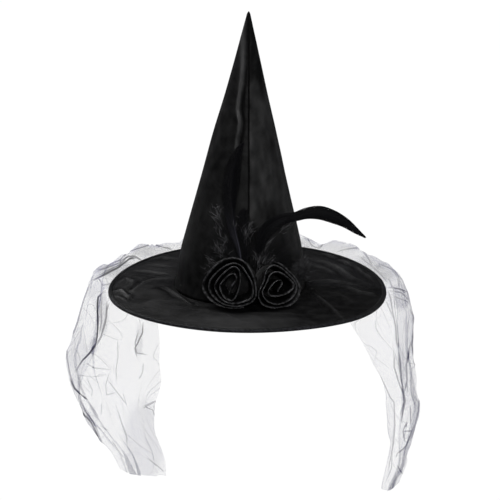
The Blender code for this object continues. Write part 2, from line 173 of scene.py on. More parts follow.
def lineDistance(spots, line):
    # distance of each 2-D spot from a line of points, how far along it lies from 0 to 1, and on which side
    line = np.asarray(line, float)
    best = np.full(spots.shape[:-1], 1e9)
    along = np.zeros(spots.shape[:-1])
    side = np.zeros(spots.shape[:-1])
    for k in range(len(line) - 1):
        run = line[k + 1] - line[k]
        share = np.clip(((spots - line[k]) @ run) / max(run @ run, 1e-12), 0, 1)
        away = np.linalg.norm(spots - (line[k] + share[..., None] * run), axis=-1)
        near = away < best
        best[near] = away[near]
        along[near] = ((k + share) / (len(line) - 1))[near]
        turned = (spots - line[k]) @ np.array((-run[1], run[0])) / max(math.hypot(*run), 1e-9)
        side[near] = np.sign(turned)[near]
    return best, along, side


# Crown and brim shapes that other pieces lie on
sectionHeights = np.array([s[0] for s in hat["sections"]] + [hat["height"]])
sectionRadii = np.array([s[1] for s in hat["sections"]] + [0.0])


def crownRadius(height):
    spread = 0.005 * np.clip((hat["height"] - height) / 0.02, 0, 1)
    return sum(np.interp(height + spread * k, sectionHeights, sectionRadii) for k in (-1, 0, 1)) / 3


def crownAxis(height):
    return hat["lean"] * height / hat["height"]


def onCrown(x, height, off):
    # a point off the crown's front, going straight on where the crown turns away at its right
    reach = crownRadius(height) + off
    turnAt = reach * math.sin(math.radians(45))
    across = x - crownAxis(height)
    past = np.maximum(across - turnAt, 0)
    kept = np.minimum(across, turnAt)
    y = -np.sqrt(np.maximum(reach ** 2 - kept ** 2, 0)) + past
    return np.stack([x + 0 * y, y, height + 0 * y], -1)


def photoOnCrown(px, py, off):
    # where a pixel's ray meets the crown's front
    ray = photoRay(px, py)
    y = -0.07
    for _ in range(6):
        spot = viewEye + ray * ((y - viewEye[1]) / ray[1])
        y = onCrown(spot[0], spot[2], off)[1]
    return spot


def brimDroop(angle):
    # the rim hangs at its two sides, and a little more at its front right
    turned = np.remainder(angle - math.radians(-35) + math.pi, 2 * math.pi) - math.pi
    return 0.0055 * np.abs(np.cos(angle)) ** 4 + 0.0040 * bell(turned, math.radians(28))


def around(angle, reach, *up):
    return np.stack([np.cos(angle) * reach, np.sin(angle) * reach, *up], -1)


def onBrim(angle, share, extra=0.0):
    # the middle of the brim's cloth
    inner = hat["footRadius"] - hat["wall"]
    out = np.stack([np.cos(angle), np.sin(angle)], -1)
    edge = out * brimEdge + np.array((hat["rimCentre"], 0))
    share, extra = np.asarray(share), np.asarray(extra)
    flat = blendTo(out * inner, edge, share[..., None]) + out * extra[..., None]
    z = -brimDroop(angle) * np.maximum(share + extra / (brimEdge - inner), 0) ** 2
    return np.concatenate([flat, z[..., None]], -1)


# Node trees: short ways to add and join. A socket or a node knows its own tree.
def feed(node, socket, value):
    target = node.inputs[socket]
    if isinstance(value, bpy.types.NodeSocket):
        node.id_data.links.new(value, target)
    else:
        target.default_value = value


def addNode(tree, kind, inputs=None, **settings):
    node = tree.nodes.new(kind)
    for key, value in settings.items():
        setattr(node, key, value)
    for socket, value in (inputs or {}).items():
        feed(node, socket, value)
    return node


def nodeOut(tree, kind, inputs=None, **settings):
    return addNode(tree, kind, inputs, **settings).outputs[0]


def mathNode(kind, operation, values):
    tree = next(value.id_data for value in values if isinstance(value, bpy.types.NodeSocket))
    return addNode(tree, kind, dict(enumerate(values)), operation=operation).outputs


def calc(operation, *values):
    return mathNode("ShaderNodeMath", operation, values)[0]


def times(a, b):
    return calc("MULTIPLY", a, b)


def over(a, b):
    return calc("DIVIDE", a, b)


def plus(a, b):
    return calc("ADD", a, b)


def minus(a, b):
    return calc("SUBTRACT", a, b)


def larger(a, b):
    return calc("MAXIMUM", a, b)


def calcVector(operation, *values):
    outputs = mathNode("ShaderNodeVectorMath", operation, values)
    return outputs["Value" if operation == "DOT_PRODUCT" else "Vector"]


def scaleVector(vector, size):
    return nodeOut(vector.id_data, "ShaderNodeVectorMath", {0: vector, "Scale": size}, operation="SCALE")


def splitVector(vector):
    return addNode(vector.id_data, "ShaderNodeSeparateXYZ", {0: vector}).outputs


def softStep(value, low, high):
    limits = {"Value": value, "From Min": low, "From Max": high}
    return nodeOut(value.id_data, "ShaderNodeMapRange", limits, interpolation_type="SMOOTHSTEP")


def mixColours(share, first, second):
    colours = {0: share, 6: first, 7: second}
    return addNode(share.id_data, "ShaderNodeMix", colours, data_type="RGBA").outputs[2]


def noiseAt(place, scale, detail):
    settings = {"Vector": place, "Scale": scale, "Detail": detail}
    return addNode(place.id_data, "ShaderNodeTexNoise", settings, noise_dimensions="3D").outputs


def newGroup(name, inputs, outputs):
    # inputs and outputs are (name, kind, value)
    group = bpy.data.node_groups.new(name, "ShaderNodeTree")
    for title, kind, value in inputs:
        socket = group.interface.new_socket(title, in_out="INPUT", socket_type="NodeSocket" + kind)
        if value is not None:
            socket.default_value = value
    for title, kind in outputs:
        group.interface.new_socket(title, in_out="OUTPUT", socket_type="NodeSocket" + kind)
    return group, addNode(group, "NodeGroupInput").outputs, addNode(group, "NodeGroupOutput")


def useGroup(tree, group, **values):
    return addNode(tree, "ShaderNodeGroup", values, node_tree=group).outputs


def makeSatinWeave():
    # long satin floats in staggered rows: a height and a thread-to-thread shade
    group, given, made = newGroup(
        "satinWeave",
        [("Place", "Vector", None), ("Threads", "Float", 3000.0), ("Float", "Float", 5.0)],
        [("Height", "Float"), ("Shade", "Float")],
    )
    along, across, _ = splitVector(scaleVector(given["Place"], given["Threads"]))
    row = calc("FLOOR", across)
    inRow = minus(calc("FRACT", across), 0.5)
    crest = minus(1.0, times(times(inRow, inRow), 4.0))
    shifted = plus(along, times(row, 2.0))
    cell = calc("FRACT", over(shifted, given["Float"]))
    dip = times(softStep(cell, 0.80, 0.88), softStep(cell, 1.0, 0.94))
    height = minus(crest, times(dip, 0.7))
    jitter = addNode(group, "ShaderNodeTexWhiteNoise", {"W": row}, noise_dimensions="1D")
    feed(made, "Height", height)
    feed(made, "Shade", jitter.outputs["Value"])
    return group


def makeClothRumple():
    # soft dents and fine creases of cloth that has been handled
    group, given, made = newGroup(
        "clothRumple",
        [("Place", "Vector", None), ("Dents", "Float", 40.0), ("Creases", "Float", 90.0)],
        [("Height", "Float"), ("Mottle", "Float")],
    )
    dents = noiseAt(given["Place"], given["Dents"], 2.0)
    warp = calcVector("ADD", given["Place"], scaleVector(dents["Color"], 0.012))
    creases = noiseAt(warp, given["Creases"], 3.0)
    ridge = calc("ABSOLUTE", minus(creases["Fac"], 0.5))
    sharp = minus(1.0, times(ridge, 4.0))
    raised = times(larger(sharp, 0.0), 0.10)
    feed(made, "Height", plus(dents["Fac"], raised))
    feed(made, "Mottle", creases["Fac"])
    return group


def makeNetCells():
    # six-sided meshes of a knitted net: how much of a spot its thread covers
    group, given, made = newGroup(
        "netCells",
        [("Place", "Vector", None), ("Cell", "Float", 0.0022), ("Thread", "Float", 0.00014),
         ("Thicker", "Float", 0.0)],
        [("Cover", "Float")],
    )
    scaled = scaleVector(given["Place"], over(1.0, given["Cell"]))
    tall = math.sqrt(3)      # a tile holds two cells: one in its middle, one at its corners
    offsets = []
    for start in ((1000.0, 1000 * tall, 0.0), (1000.5, 1000.5 * tall, 0.0)):
        tiled = calcVector("MODULO", calcVector("ADD", scaled, start), (1.0, tall, 1.0))
        middle = calcVector("SUBTRACT", tiled, (0.5, tall / 2, 0.5))
        offsets.append(calcVector("MULTIPLY", middle, (1.0, 1.0, 0.0)))
    first, second = offsets
    nearer = calc("LESS_THAN", calcVector("DOT_PRODUCT", first, first),
                  calcVector("DOT_PRODUCT", second, second))
    pick = addNode(group, "ShaderNodeMix", {0: nearer, 4: second, 5: first}, data_type="VECTOR")
    x, y, _ = splitVector(calcVector("ABSOLUTE", pick.outputs[1]))
    slant = plus(times(x, 0.5), times(y, tall / 2))
    inside = minus(0.5, larger(x, slant))
    away = times(inside, given["Cell"])
    width = times(given["Thread"], plus(1.0, given["Thicker"]))
    feed(made, "Cover", softStep(away, times(width, 0.62), times(width, 0.38)))
    return group


def makeEdgeWearAndHighlight():
    # how much a raised edge is lightened, broken up by noise: partly wear from handling, partly a painted
    # highlight
    group, given, made = newGroup(
        "edgeWearAndHighlight",
        [("Place", "Vector", None), ("Edge", "Float", 0.0), ("Grain", "Float", 300.0)],
        [("LightenedEdge", "Float")],
    )
    broken = softStep(noiseAt(given["Place"], given["Grain"], 2.0)["Fac"], 0.35, 0.65)
    feed(made, "LightenedEdge", times(given["Edge"], broken))
    return group


satinWeave = makeSatinWeave()
clothRumple = makeClothRumple()
netCells = makeNetCells()
edgeWearAndHighlight = makeEdgeWearAndHighlight()


def startMaterial(name):
    material = bpy.data.materials.new(name)
    material.use_nodes = True
    tree = material.node_tree
    return material, tree, tree.nodes["Principled BSDF"], addNode(tree, "ShaderNodeTexCoord")


def fieldOf(tree, name):
    return addNode(tree, "ShaderNodeAttribute", attribute_name=name).outputs["Fac"]


def bumpOn(shader, height, distance=1.0):
    bump = {"Height": height, "Strength": 1.0, "Distance": distance}
    feed(shader, "Normal", nodeOut(shader.id_data, "ShaderNodeBump", bump))


satinTone = {"paintedSheen": 0.45, "threads": 0.10, "mottle": 0.5}   # what moves it from dark to light


def makeSatin(name, look):
    material, tree, shader, spot = startMaterial(name)
    place = spot.outputs["Object"]
    weave = useGroup(tree, satinWeave, Place=spot.outputs["UV"], Threads=look["threads"],
                     Float=look["float"])
    rumple = useGroup(tree, clothRumple, Place=place, Dents=look["dents"], Creases=look["creases"])
    # raised edges, such as a rose's folded lip or the tape over the wire, lightened by wear and a painted
    # highlight
    wornAndLit = useGroup(tree, edgeWearAndHighlight, Place=place, Edge=fieldOf(tree, "edge"))["LightenedEdge"]
    # painted sheen and shade: this field lightens or darkens the satin's colour
    paintedSheen = fieldOf(tree, "paintedSheen")   # 0 dull to 1 bright
    mottle = minus(rumple["Mottle"], 0.5)
    lit = plus(times(paintedSheen, satinTone["paintedSheen"]), times(weave["Shade"], satinTone["threads"]))
    lit = plus(lit, times(mottle, satinTone["mottle"]))
    tone = mixColours(lit, look["dark"], look["light"])
    feed(shader, "Base Color", mixColours(times(wornAndLit, look["edgeLight"]), tone, look["wornAndLitColour"]))
    dull = minus(look["rough"], times(paintedSheen, look["sheenGain"]))
    feed(shader, "Roughness", larger(plus(dull, times(mottle, look["mottle"])), 0.2))
    threads = times(weave["Height"], look["weaveHeight"])
    bumpOn(shader, plus(threads, times(rumple["Height"], look["rumpleHeight"])))
    shader.inputs["Specular IOR Level"].default_value = look["gloss"]
    return material


blackSatin = makeSatin("blackSatin", {
    "threads": 2600.0, "float": 5.0, "dents": 34.0, "creases": 75.0,
    "dark": (0.0022, 0.0022, 0.0024, 1), "light": (0.0580, 0.0580, 0.0588, 1),
    "wornAndLitColour": (0.02, 0.02, 0.021, 1), "edgeLight": 0.4,
    "rough": 0.47, "sheenGain": 0.08, "mottle": 0.12, "gloss": 0.10,
    "weaveHeight": 0.00003, "rumpleHeight": 0.0009,
})
roseSatin = makeSatin("roseSatin", {
    "threads": 3000.0, "float": 5.0, "dents": 60.0, "creases": 140.0,
    "dark": (0.0016, 0.0016, 0.0018, 1), "light": (0.0180, 0.0180, 0.0190, 1),
    "wornAndLitColour": (0.125, 0.125, 0.132, 1), "edgeLight": 0.8,
    "rough": 0.42, "sheenGain": 0.08, "mottle": 0.10, "gloss": 0.34,
    "weaveHeight": 0.00004, "rumpleHeight": 0.0010,
})
biasTape = makeSatin("biasTape", {
    "threads": 2200.0, "float": 2.0, "dents": 90.0, "creases": 220.0,
    "dark": (0.0016, 0.0016, 0.0020, 1), "light": (0.0090, 0.0090, 0.0100, 1),
    "wornAndLitColour": (0.034, 0.034, 0.042, 1), "edgeLight": 0.8,
    "rough": 0.52, "sheenGain": 0.0, "mottle": 0.12, "gloss": 0.20,
    "weaveHeight": 0.00006, "rumpleHeight": 0.0005,
})


def makeThread():
    material, tree, shader, spot = startMaterial("sewingThread")
    rumple = useGroup(tree, clothRumple, Place=spot.outputs["Object"], Dents=400.0, Creases=1500.0)
    tone = mixColours(rumple["Mottle"], (0.006, 0.006, 0.006, 1), (0.02, 0.02, 0.021, 1))
    feed(shader, "Base Color", tone)
    feed(shader, "Roughness", plus(times(rumple["Mottle"], 0.3), 0.35))
    bumpOn(shader, rumple["Height"], 0.00008)
    return material


def makePlume(name, look):
    # barbs: blue-black, glossy on the vane and duller in the down
    material, tree, shader, spot = startMaterial(name)
    place = spot.outputs["Object"]
    rumple = useGroup(tree, clothRumple, Place=place, Dents=look["patches"], Creases=look["barbs"])
    tip = fieldOf(tree, "tip")
    tone = mixColours(rumple["Mottle"], look["dark"], look["blue"])
    tone = mixColours(times(tip, look["tipShare"]), tone, look["tipTone"])
    # strands with the light field mix towards the wisp colour: painted highlights on the quill and the
    # wisps, and lighter strands in the puff
    feed(shader, "Base Color", mixColours(fieldOf(tree, "light"), tone, look["wisp"]))
    feed(shader, "Roughness", plus(times(rumple["Mottle"], 0.2), look["rough"]))
    bumpOn(shader, rumple["Height"], 0.0001)
    shader.inputs["Specular IOR Level"].default_value = look["gloss"]
    return material


sewingThread = makeThread()
glossPlume = makePlume("glossPlume", {
    "patches": 60.0, "barbs": 900.0,
    "dark": (0.0010, 0.0010, 0.0016, 1), "blue": (0.0030, 0.0029, 0.0052, 1),
    "tipTone": (0.0016, 0.0016, 0.0024, 1), "tipShare": 0.5, "wisp": (0.100, 0.100, 0.130, 1),
    "rough": 0.42, "gloss": 0.16,
})
softPlume = makePlume("softPlume", {
    "patches": 80.0, "barbs": 500.0,
    "dark": (0.0012, 0.0012, 0.0016, 1), "blue": (0.0060, 0.0060, 0.0080, 1),
    "tipTone": (0.0150, 0.0150, 0.0165, 1), "tipShare": 0.8, "wisp": (0.42, 0.42, 0.44, 1),
    "rough": 0.50, "gloss": 0.20,
})


netLook = {
    "cell": 0.0011, "thread": 0.000088,
    "layers": 7,             # sets of folds that the veil's mesh carries
    "dark": (0.014, 0.014, 0.017, 1), "light": (0.026, 0.026, 0.031, 1),
    "lilac": (0.078, 0.078, 0.300, 1),   # where it hangs free
}


def makeNet():
    material, tree, shader, spot = startMaterial("blackNet")
    c = netLook
    rumple = useGroup(tree, clothRumple, Place=spot.outputs["Object"], Dents=60.0, Creases=240.0)
    cells = useGroup(tree, netCells, Place=spot.outputs["UV"], Cell=c["cell"], Thread=c["thread"],
                     Thicker=fieldOf(tree, "dense"))
    # each fold is a distance from its middle in half widths, and a strength
    fold = 0.0
    for k in range(c["layers"]):
        away = calc("ABSOLUTE", fieldOf(tree, f"away{k}"))
        line = times(softStep(away, 1.4, 0.1), fieldOf(tree, f"fold{k}"))
        fold = larger(fold, line)
    # painted light and shade: the same net is a lighter lilac where it hangs free, darker where it lies on
    # the brim and along its folds
    tone = mixColours(rumple["Mottle"], c["dark"], c["light"])
    free = times(fieldOf(tree, "hung"), minus(1.0, fold))
    feed(shader, "Base Color", mixColours(free, tone, c["lilac"]))
    feed(shader, "Roughness", plus(times(rumple["Mottle"], 0.2), 0.45))
    feed(shader, "Alpha", larger(cells["Cover"], fold))
    bumpOn(shader, cells["Cover"], 0.0001)
    shader.inputs["Specular IOR Level"].default_value = 0.3
    return material


blackNet = makeNet()
print("materials made")


# Mesh making
def putIn(name, data):
    thing = bpy.data.objects.new(name, data)
    bpy.context.scene.collection.objects.link(thing)
    return thing


def storeField(mesh, title, values):
    mesh.attributes.new(title, "FLOAT", "POINT").data.foreach_set("value", values)


def gridPiece(name, points, uv, material, fields, wrapRound=False, wrapOver=False):
    # quads through rows of points; uv has one more column or row where the grid wraps
    rows, cols = points.shape[:2]
    r, c = np.indices((rows if wrapOver else rows - 1, cols if wrapRound else cols - 1))
    corner = lambda dr, dc: ((r + dr) % rows) * cols + (c + dc) % cols
    faces = np.stack([corner(0, 0), corner(0, 1), corner(1, 1), corner(1, 0)], -1).reshape(-1, 4)
    loopUv = np.stack([uv[r, c], uv[r, c + 1], uv[r + 1, c + 1], uv[r + 1, c]], -2).reshape(-1, 2)
    mesh = bpy.data.meshes.new(name)
    mesh.from_pydata(points.reshape(-1, 3).tolist(), [], faces.tolist())
    mesh.uv_layers.new(name="cut").data.foreach_set("uv", loopUv.astype(np.float32).ravel())
    for title, values in fields.items():
        storeField(mesh, title, np.broadcast_to(values, (rows, cols)).astype(np.float32).ravel())
    mesh.materials.append(material)
    mesh.shade_smooth()
    return putIn(name, mesh)


@contextmanager
def meshOf(piece):
    # the piece's mesh, open for bmesh work
    made = bmesh.new()
    made.from_mesh(piece.data)
    yield made
    made.to_mesh(piece.data)
    made.free()


def closeUp(piece, nearness=1e-6):
    # weld doubled points, at poles and seams, and turn the faces outwards
    with meshOf(piece) as made:
        bmesh.ops.remove_doubles(made, verts=made.verts, dist=nearness)
        bmesh.ops.dissolve_degenerate(made, edges=made.edges, dist=nearness / 10)
        bmesh.ops.recalc_face_normals(made, faces=made.faces)
    piece.data.shade_smooth()
    return piece


def joinPieces(base, other):
    # both pieces have the same material
    with meshOf(base) as made:
        made.from_mesh(other.data)
    bpy.data.objects.remove(other)
    return base


def finishPiece(piece, node):
    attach(piece, "root")
    if node:
        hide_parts(node)
    piece.data.calc_loop_triangles()
    print(f"  {piece.name}: {len(piece.data.loop_triangles)} triangles")


# Geometry Nodes: threads swept along given paths, and stitches set out along a path
def startNodes(name, inputs):
    tree = bpy.data.node_groups.new(name, "GeometryNodeTree")
    tree.interface.new_socket("Paths", in_out="INPUT", socket_type="NodeSocketGeometry")
    for title, kind, value in inputs:
        socket = tree.interface.new_socket(title, in_out="INPUT", socket_type="NodeSocket" + kind)
        if value is not None:
            socket.default_value = value
    tree.interface.new_socket("Pieces", in_out="OUTPUT", socket_type="NodeSocketGeometry")
    return tree, addNode(tree, "NodeGroupInput").outputs, addNode(tree, "NodeGroupOutput")


def endNodes(tree, pieces, given, made):
    smooth = nodeOut(tree, "GeometryNodeSetShadeSmooth", {"Geometry": pieces})
    real = nodeOut(tree, "GeometryNodeRealizeInstances", {0: smooth})
    coat = nodeOut(tree, "GeometryNodeSetMaterial", {"Geometry": real, "Material": given["Material"]})
    feed(made, "Pieces", coat)


def makeStrandNodes():
    tree, given, made = startNodes("strandsOnPaths", [
        ("Sides", "Int", 4), ("Taper", "Float", 0.8), ("Frizz", "Float", 0.0),
        ("Frizz Size", "Float", 0.01), ("Seed", "Int", 1), ("Material", "Material", None),
    ])
    curve = nodeOut(tree, "GeometryNodeMeshToCurve", {"Mesh": given["Paths"]})
    share = nodeOut(tree, "GeometryNodeSplineParameter")
    spot = nodeOut(tree, "GeometryNodeInputPosition")
    frizzSize = over(1.0, given["Frizz Size"])
    wild = addNode(tree, "ShaderNodeTexNoise", {"Vector": spot, "W": given["Seed"], "Scale": frizzSize},
                   noise_dimensions="4D").outputs["Color"]
    wild = calcVector("SUBTRACT", wild, (0.5, 0.5, 0.5))
    push = scaleVector(wild, times(given["Frizz"], share))
    moved = nodeOut(tree, "GeometryNodeSetPosition", {"Geometry": curve, "Offset": push})
    tip = {"Geometry": moved, "Name": "tip", "Value": share}
    stored = nodeOut(tree, "GeometryNodeStoreNamedAttribute", tip, data_type="FLOAT", domain="POINT")
    thick = nodeOut(tree, "GeometryNodeInputNamedAttribute", {"Name": "thick"}, data_type="FLOAT")
    thinner = minus(1.0, times(given["Taper"], calc("POWER", share, 1.6)))
    ring = nodeOut(tree, "GeometryNodeCurvePrimitiveCircle", {"Resolution": given["Sides"], "Radius": 1.0})
    tube = nodeOut(tree, "GeometryNodeCurveToMesh", {
        "Curve": stored, "Profile Curve": ring, "Scale": times(thick, thinner), "Fill Caps": True})
    endNodes(tree, tube, given, made)
    return tree


def makeStitchNodes():
    tree, given, made = startNodes("stitchesOnPath", [
        ("Spacing", "Float", 0.003), ("Length", "Float", 0.0022), ("Thickness", "Float", 0.0004),
        ("Material", "Material", None),
    ])
    curve = nodeOut(tree, "GeometryNodeMeshToCurve", {"Mesh": given["Paths"]})
    spots = addNode(tree, "GeometryNodeCurveToPoints", {"Curve": curve, "Length": given["Spacing"]},
                    mode="LENGTH").outputs
    ball = nodeOut(tree, "GeometryNodeMeshUVSphere", {"Segments": 7, "Rings": 5, "Radius": 0.5})
    thick = given["Thickness"]
    size = nodeOut(tree, "ShaderNodeCombineXYZ", {0: thick, 1: thick, 2: given["Length"]})
    stitch = nodeOut(tree, "GeometryNodeTransform", {"Geometry": ball, "Scale": size})
    turned = nodeOut(tree, "FunctionNodeAlignRotationToVector", {"Vector": spots["Tangent"]}, axis="Z")
    placed = nodeOut(tree, "GeometryNodeInstanceOnPoints", {
        "Points": spots["Points"], "Instance": stitch, "Rotation": turned})
    endNodes(tree, placed, given, made)
    return tree


strandNodes = makeStrandNodes()
stitchNodes = makeStitchNodes()


def grown(name, paths, tree, values):
    # paths is a list of (points, radius, lightness); the tree turns them into a plain mesh
    points, edges, thick, light, start = [], [], [], [], 0
    for path, radius, lightness in paths:
        points += np.asarray(path, float).tolist()
        thick += np.broadcast_to(radius, len(path)).tolist()
        light += np.broadcast_to(lightness, len(path)).tolist()
        edges += [(start + k, start + k + 1) for k in range(len(path) - 1)]
        start += len(path)
    mesh = bpy.data.meshes.new(name + "Paths")
    mesh.from_pydata(points, edges, [])
    storeField(mesh, "thick", thick)
    storeField(mesh, "light", light)
    guide = putIn(name + "Paths", mesh)
    modifier = guide.modifiers.new("Grow", "NODES")
    modifier.node_group = tree
    for item in tree.interface.items_tree:
        if item.item_type == "SOCKET" and item.in_out == "INPUT" and item.name in values:
            modifier[item.identifier] = values[item.name]
    shown = guide.evaluated_get(bpy.context.evaluated_depsgraph_get())
    result = bpy.data.meshes.new_from_object(shown)
    result.name = name
    bpy.data.objects.remove(guide)
    return putIn(name, result)


# Crown: a cone of stiffened satin with one front seam, a soft ridge left of it and dents
crownCloth = {
    "columns": 240,
    "rows": 150,
    "crowding": 0.125,        # how much closer the columns stand at the seam
    "insideRows": 30,
    "seamDepth": 0.0009,
    "seamWidth": 0.0007,
    "allowance": 0.0075,      # width of the seam's folded edge under the cloth
    "allowanceRise": 0.00012,
    "pucker": 0.00030,
    "puckerEvery": 0.0085,
    "dent": 0.0009,
    "dentSize": 0.042,
    "smallDent": 0.22,        # share of the larger ones, on the right side
    "smallDentSize": 0.016,
    "wallAtPoint": 0.012,
    # pixels down the bright ridge left of the seam
    "ridge": (
        242.5, 20, 242.2, 43, 241.7, 68, 240.4, 85, 238.2, 100, 237.2, 110, 239.6, 122, 238.4, 131,
        236.8, 138, 235.8, 152,
    ),
    "ridgeRise": 0.0012,
    "ridgeWidth": 2.2,        # pixels
    "ridgeEnds": 168,         # the pixel row at which it has died out
    # painted sheen and shade: how bright the satin's colour is, 0 dull, 1 bright
    "paintedSheen": {
        "base": 0.26, "mottle": 0.14, "mottleSize": 0.022, "fineMottle": 0.7, "fineSize": 0.007,
        "right": 0.50, "rightMottle": 0.75, "rightLow": 0.22, "rightTop": -0.75, "rightTo": 75,   # degrees
        "streakLow": 2.5, "streakHigh": 1.0, "haloHigh": 1.1, "hollow": -0.5,
        "feathers": -1.3, "seam": -1.1, "seamWidth": 0.0010,
    },
}


def buildCrown():
    c = crownCloth
    u = np.arange(c["columns"] + 1) / c["columns"]
    turn = 2 * math.pi * (u - c["crowding"] * np.sin(2 * math.pi * u))
    height = hat["sections"][0][0] + (hat["height"] - hat["sections"][0][0]) * (
        np.arange(c["rows"]) / (c["rows"] - 1)) ** 0.92
    turns, heights = np.meshgrid(turn[:-1], height)
    radius = crownRadius(heights)
    arc = np.where(turns > math.pi, turns - 2 * math.pi, turns) * radius
    angle = hat["seamAt"] + turns
    fade = np.clip(radius / 0.02, 0, 1)

    flat = around(angle, radius, heights)
    onRight = easeShare((arc + 0.01) / 0.02)
    push = cloudAt(flat * (1, 1, 0.55), c["dentSize"], 1) * c["dent"] * fade
    push += cloudAt(flat * (1, 1, 0.6), c["smallDentSize"], 2) * c["dent"] * c["smallDent"] * fade * onRight
    push -= c["seamDepth"] * bell(arc, c["seamWidth"]) * np.clip(radius / 0.006, 0, 1)
    push += c["allowanceRise"] * easeShare((arc + c["allowance"]) / 0.003) * (arc < 0) * fade
    rhythm = np.sin(heights * 2 * math.pi / c["puckerEvery"] + 2.5 * np.sin(heights * 41))
    push += c["pucker"] * np.exp(-np.abs(arc) / 0.005) * rhythm * fade
    place = np.stack([crownAxis(heights) + flat[..., 0], flat[..., 1], heights], -1)
    pixel = inPhoto(place)
    ridge = pairs(c["ridge"])
    off = pixel[..., 0] - np.interp(pixel[..., 1], ridge[:, 1], ridge[:, 0])
    front = easeShare(-flat[..., 1] / np.maximum(radius, 1e-6) * 2)
    ended = easeShare((c["ridgeEnds"] - pixel[..., 1]) / 14)
    fold = bell(off + 1.6, c["ridgeWidth"]) - 0.7 * bell(off - 3.0, c["ridgeWidth"])
    push += c["ridgeRise"] * fold * front * ended * np.clip(radius / 0.012, 0, 1)
    radius = np.maximum(radius + push * np.clip((heights - 0.003) / 0.01, 0.25, 1), 0)
    radius[-1] = 0
    outside = around(angle, radius, heights)
    outside[..., 0] += crownAxis(heights)

    # the inside runs down from its own point, a wall's width in
    steps = np.linspace(0, 1, c["insideRows"])
    inHeight = blendTo(hat["height"] - c["wallAtPoint"], height[0], steps)
    inRadius = np.maximum(crownRadius(inHeight) - hat["wall"], 0)
    inRadius[0] = 0
    inTurns, inHeights = np.meshgrid(hat["seamAt"] + turn[:-1], inHeight)
    inside = around(inTurns, inRadius[:, None], inHeights)
    inside[..., 0] += crownAxis(inHeights)

    # the cut: the cone laid flat, its grain straight down the back
    slope = math.hypot(hat["height"], hat["footRadius"]) / hat["height"]
    spin = hat["footRadius"] / math.hypot(hat["height"], hat["footRadius"])

    def laidFlat(heightRow):
        slant = (hat["height"] - heightRow)[:, None] * slope
        fan = (turn - math.pi)[None, :] * spin
        return np.stack([slant * np.sin(fan), -slant * np.cos(fan)], -1)

    # painted sheen: brighter right of the seam, more so low down, darker near its top, and mottled
    s = c["paintedSheen"]
    rightSide = easeShare(arc / 0.004 + 0.5) * (turns < math.pi)
    rightSide *= easeShare((math.radians(s["rightTo"]) - turns) / 0.3)
    mottled = cloudAt(flat * (1, 1, 0.45), s["mottleSize"], 7, 2)
    mottled += s["fineMottle"] * cloudAt(flat * (1, 1, 0.35), s["fineSize"], 8)
    right = s["right"] + s["rightMottle"] * mottled + s["rightLow"] * easeShare((0.17 - heights) / 0.06)
    right += s["rightTop"] * easeShare((heights - 0.275) / 0.03)
    paintedSheen = s["base"] + s["mottle"] * mottled + rightSide * right
    # painted highlight: a broken streak along the ridge, softer near the top, with a line of painted shade
    # on its right
    broken = 1 + 0.7 * cloudOn(heights / 0.014, 0, 9, 2)
    upper = easeShare((96 - pixel[..., 1]) / 22)
    streak = bell(off - 0.2, 1.3) * blendTo(s["streakLow"], s["streakHigh"], upper)
    streak = broken * (streak + s["haloHigh"] * upper * bell(off - 1.2, 3.0))
    paintedSheen += (streak + s["hollow"] * bell(off - 5.4, 1.8)) * front * ended
    # painted shade behind the feathers and in the seam
    shaded = bell(pixel[..., 0] - 251, 11) * easeShare((pixel[..., 1] - 214) / 22) * front
    paintedSheen += s["feathers"] * shaded + s["seam"] * bell(arc, s["seamWidth"])
    crown = gridPiece("crownCloth", np.concatenate([inside, outside]),
                      np.concatenate([laidFlat(inHeight), laidFlat(height)]), blackSatin,
                      {"paintedSheen": np.concatenate([0 * inTurns, paintedSheen])}, wrapRound=True)
    return closeUp(crown)


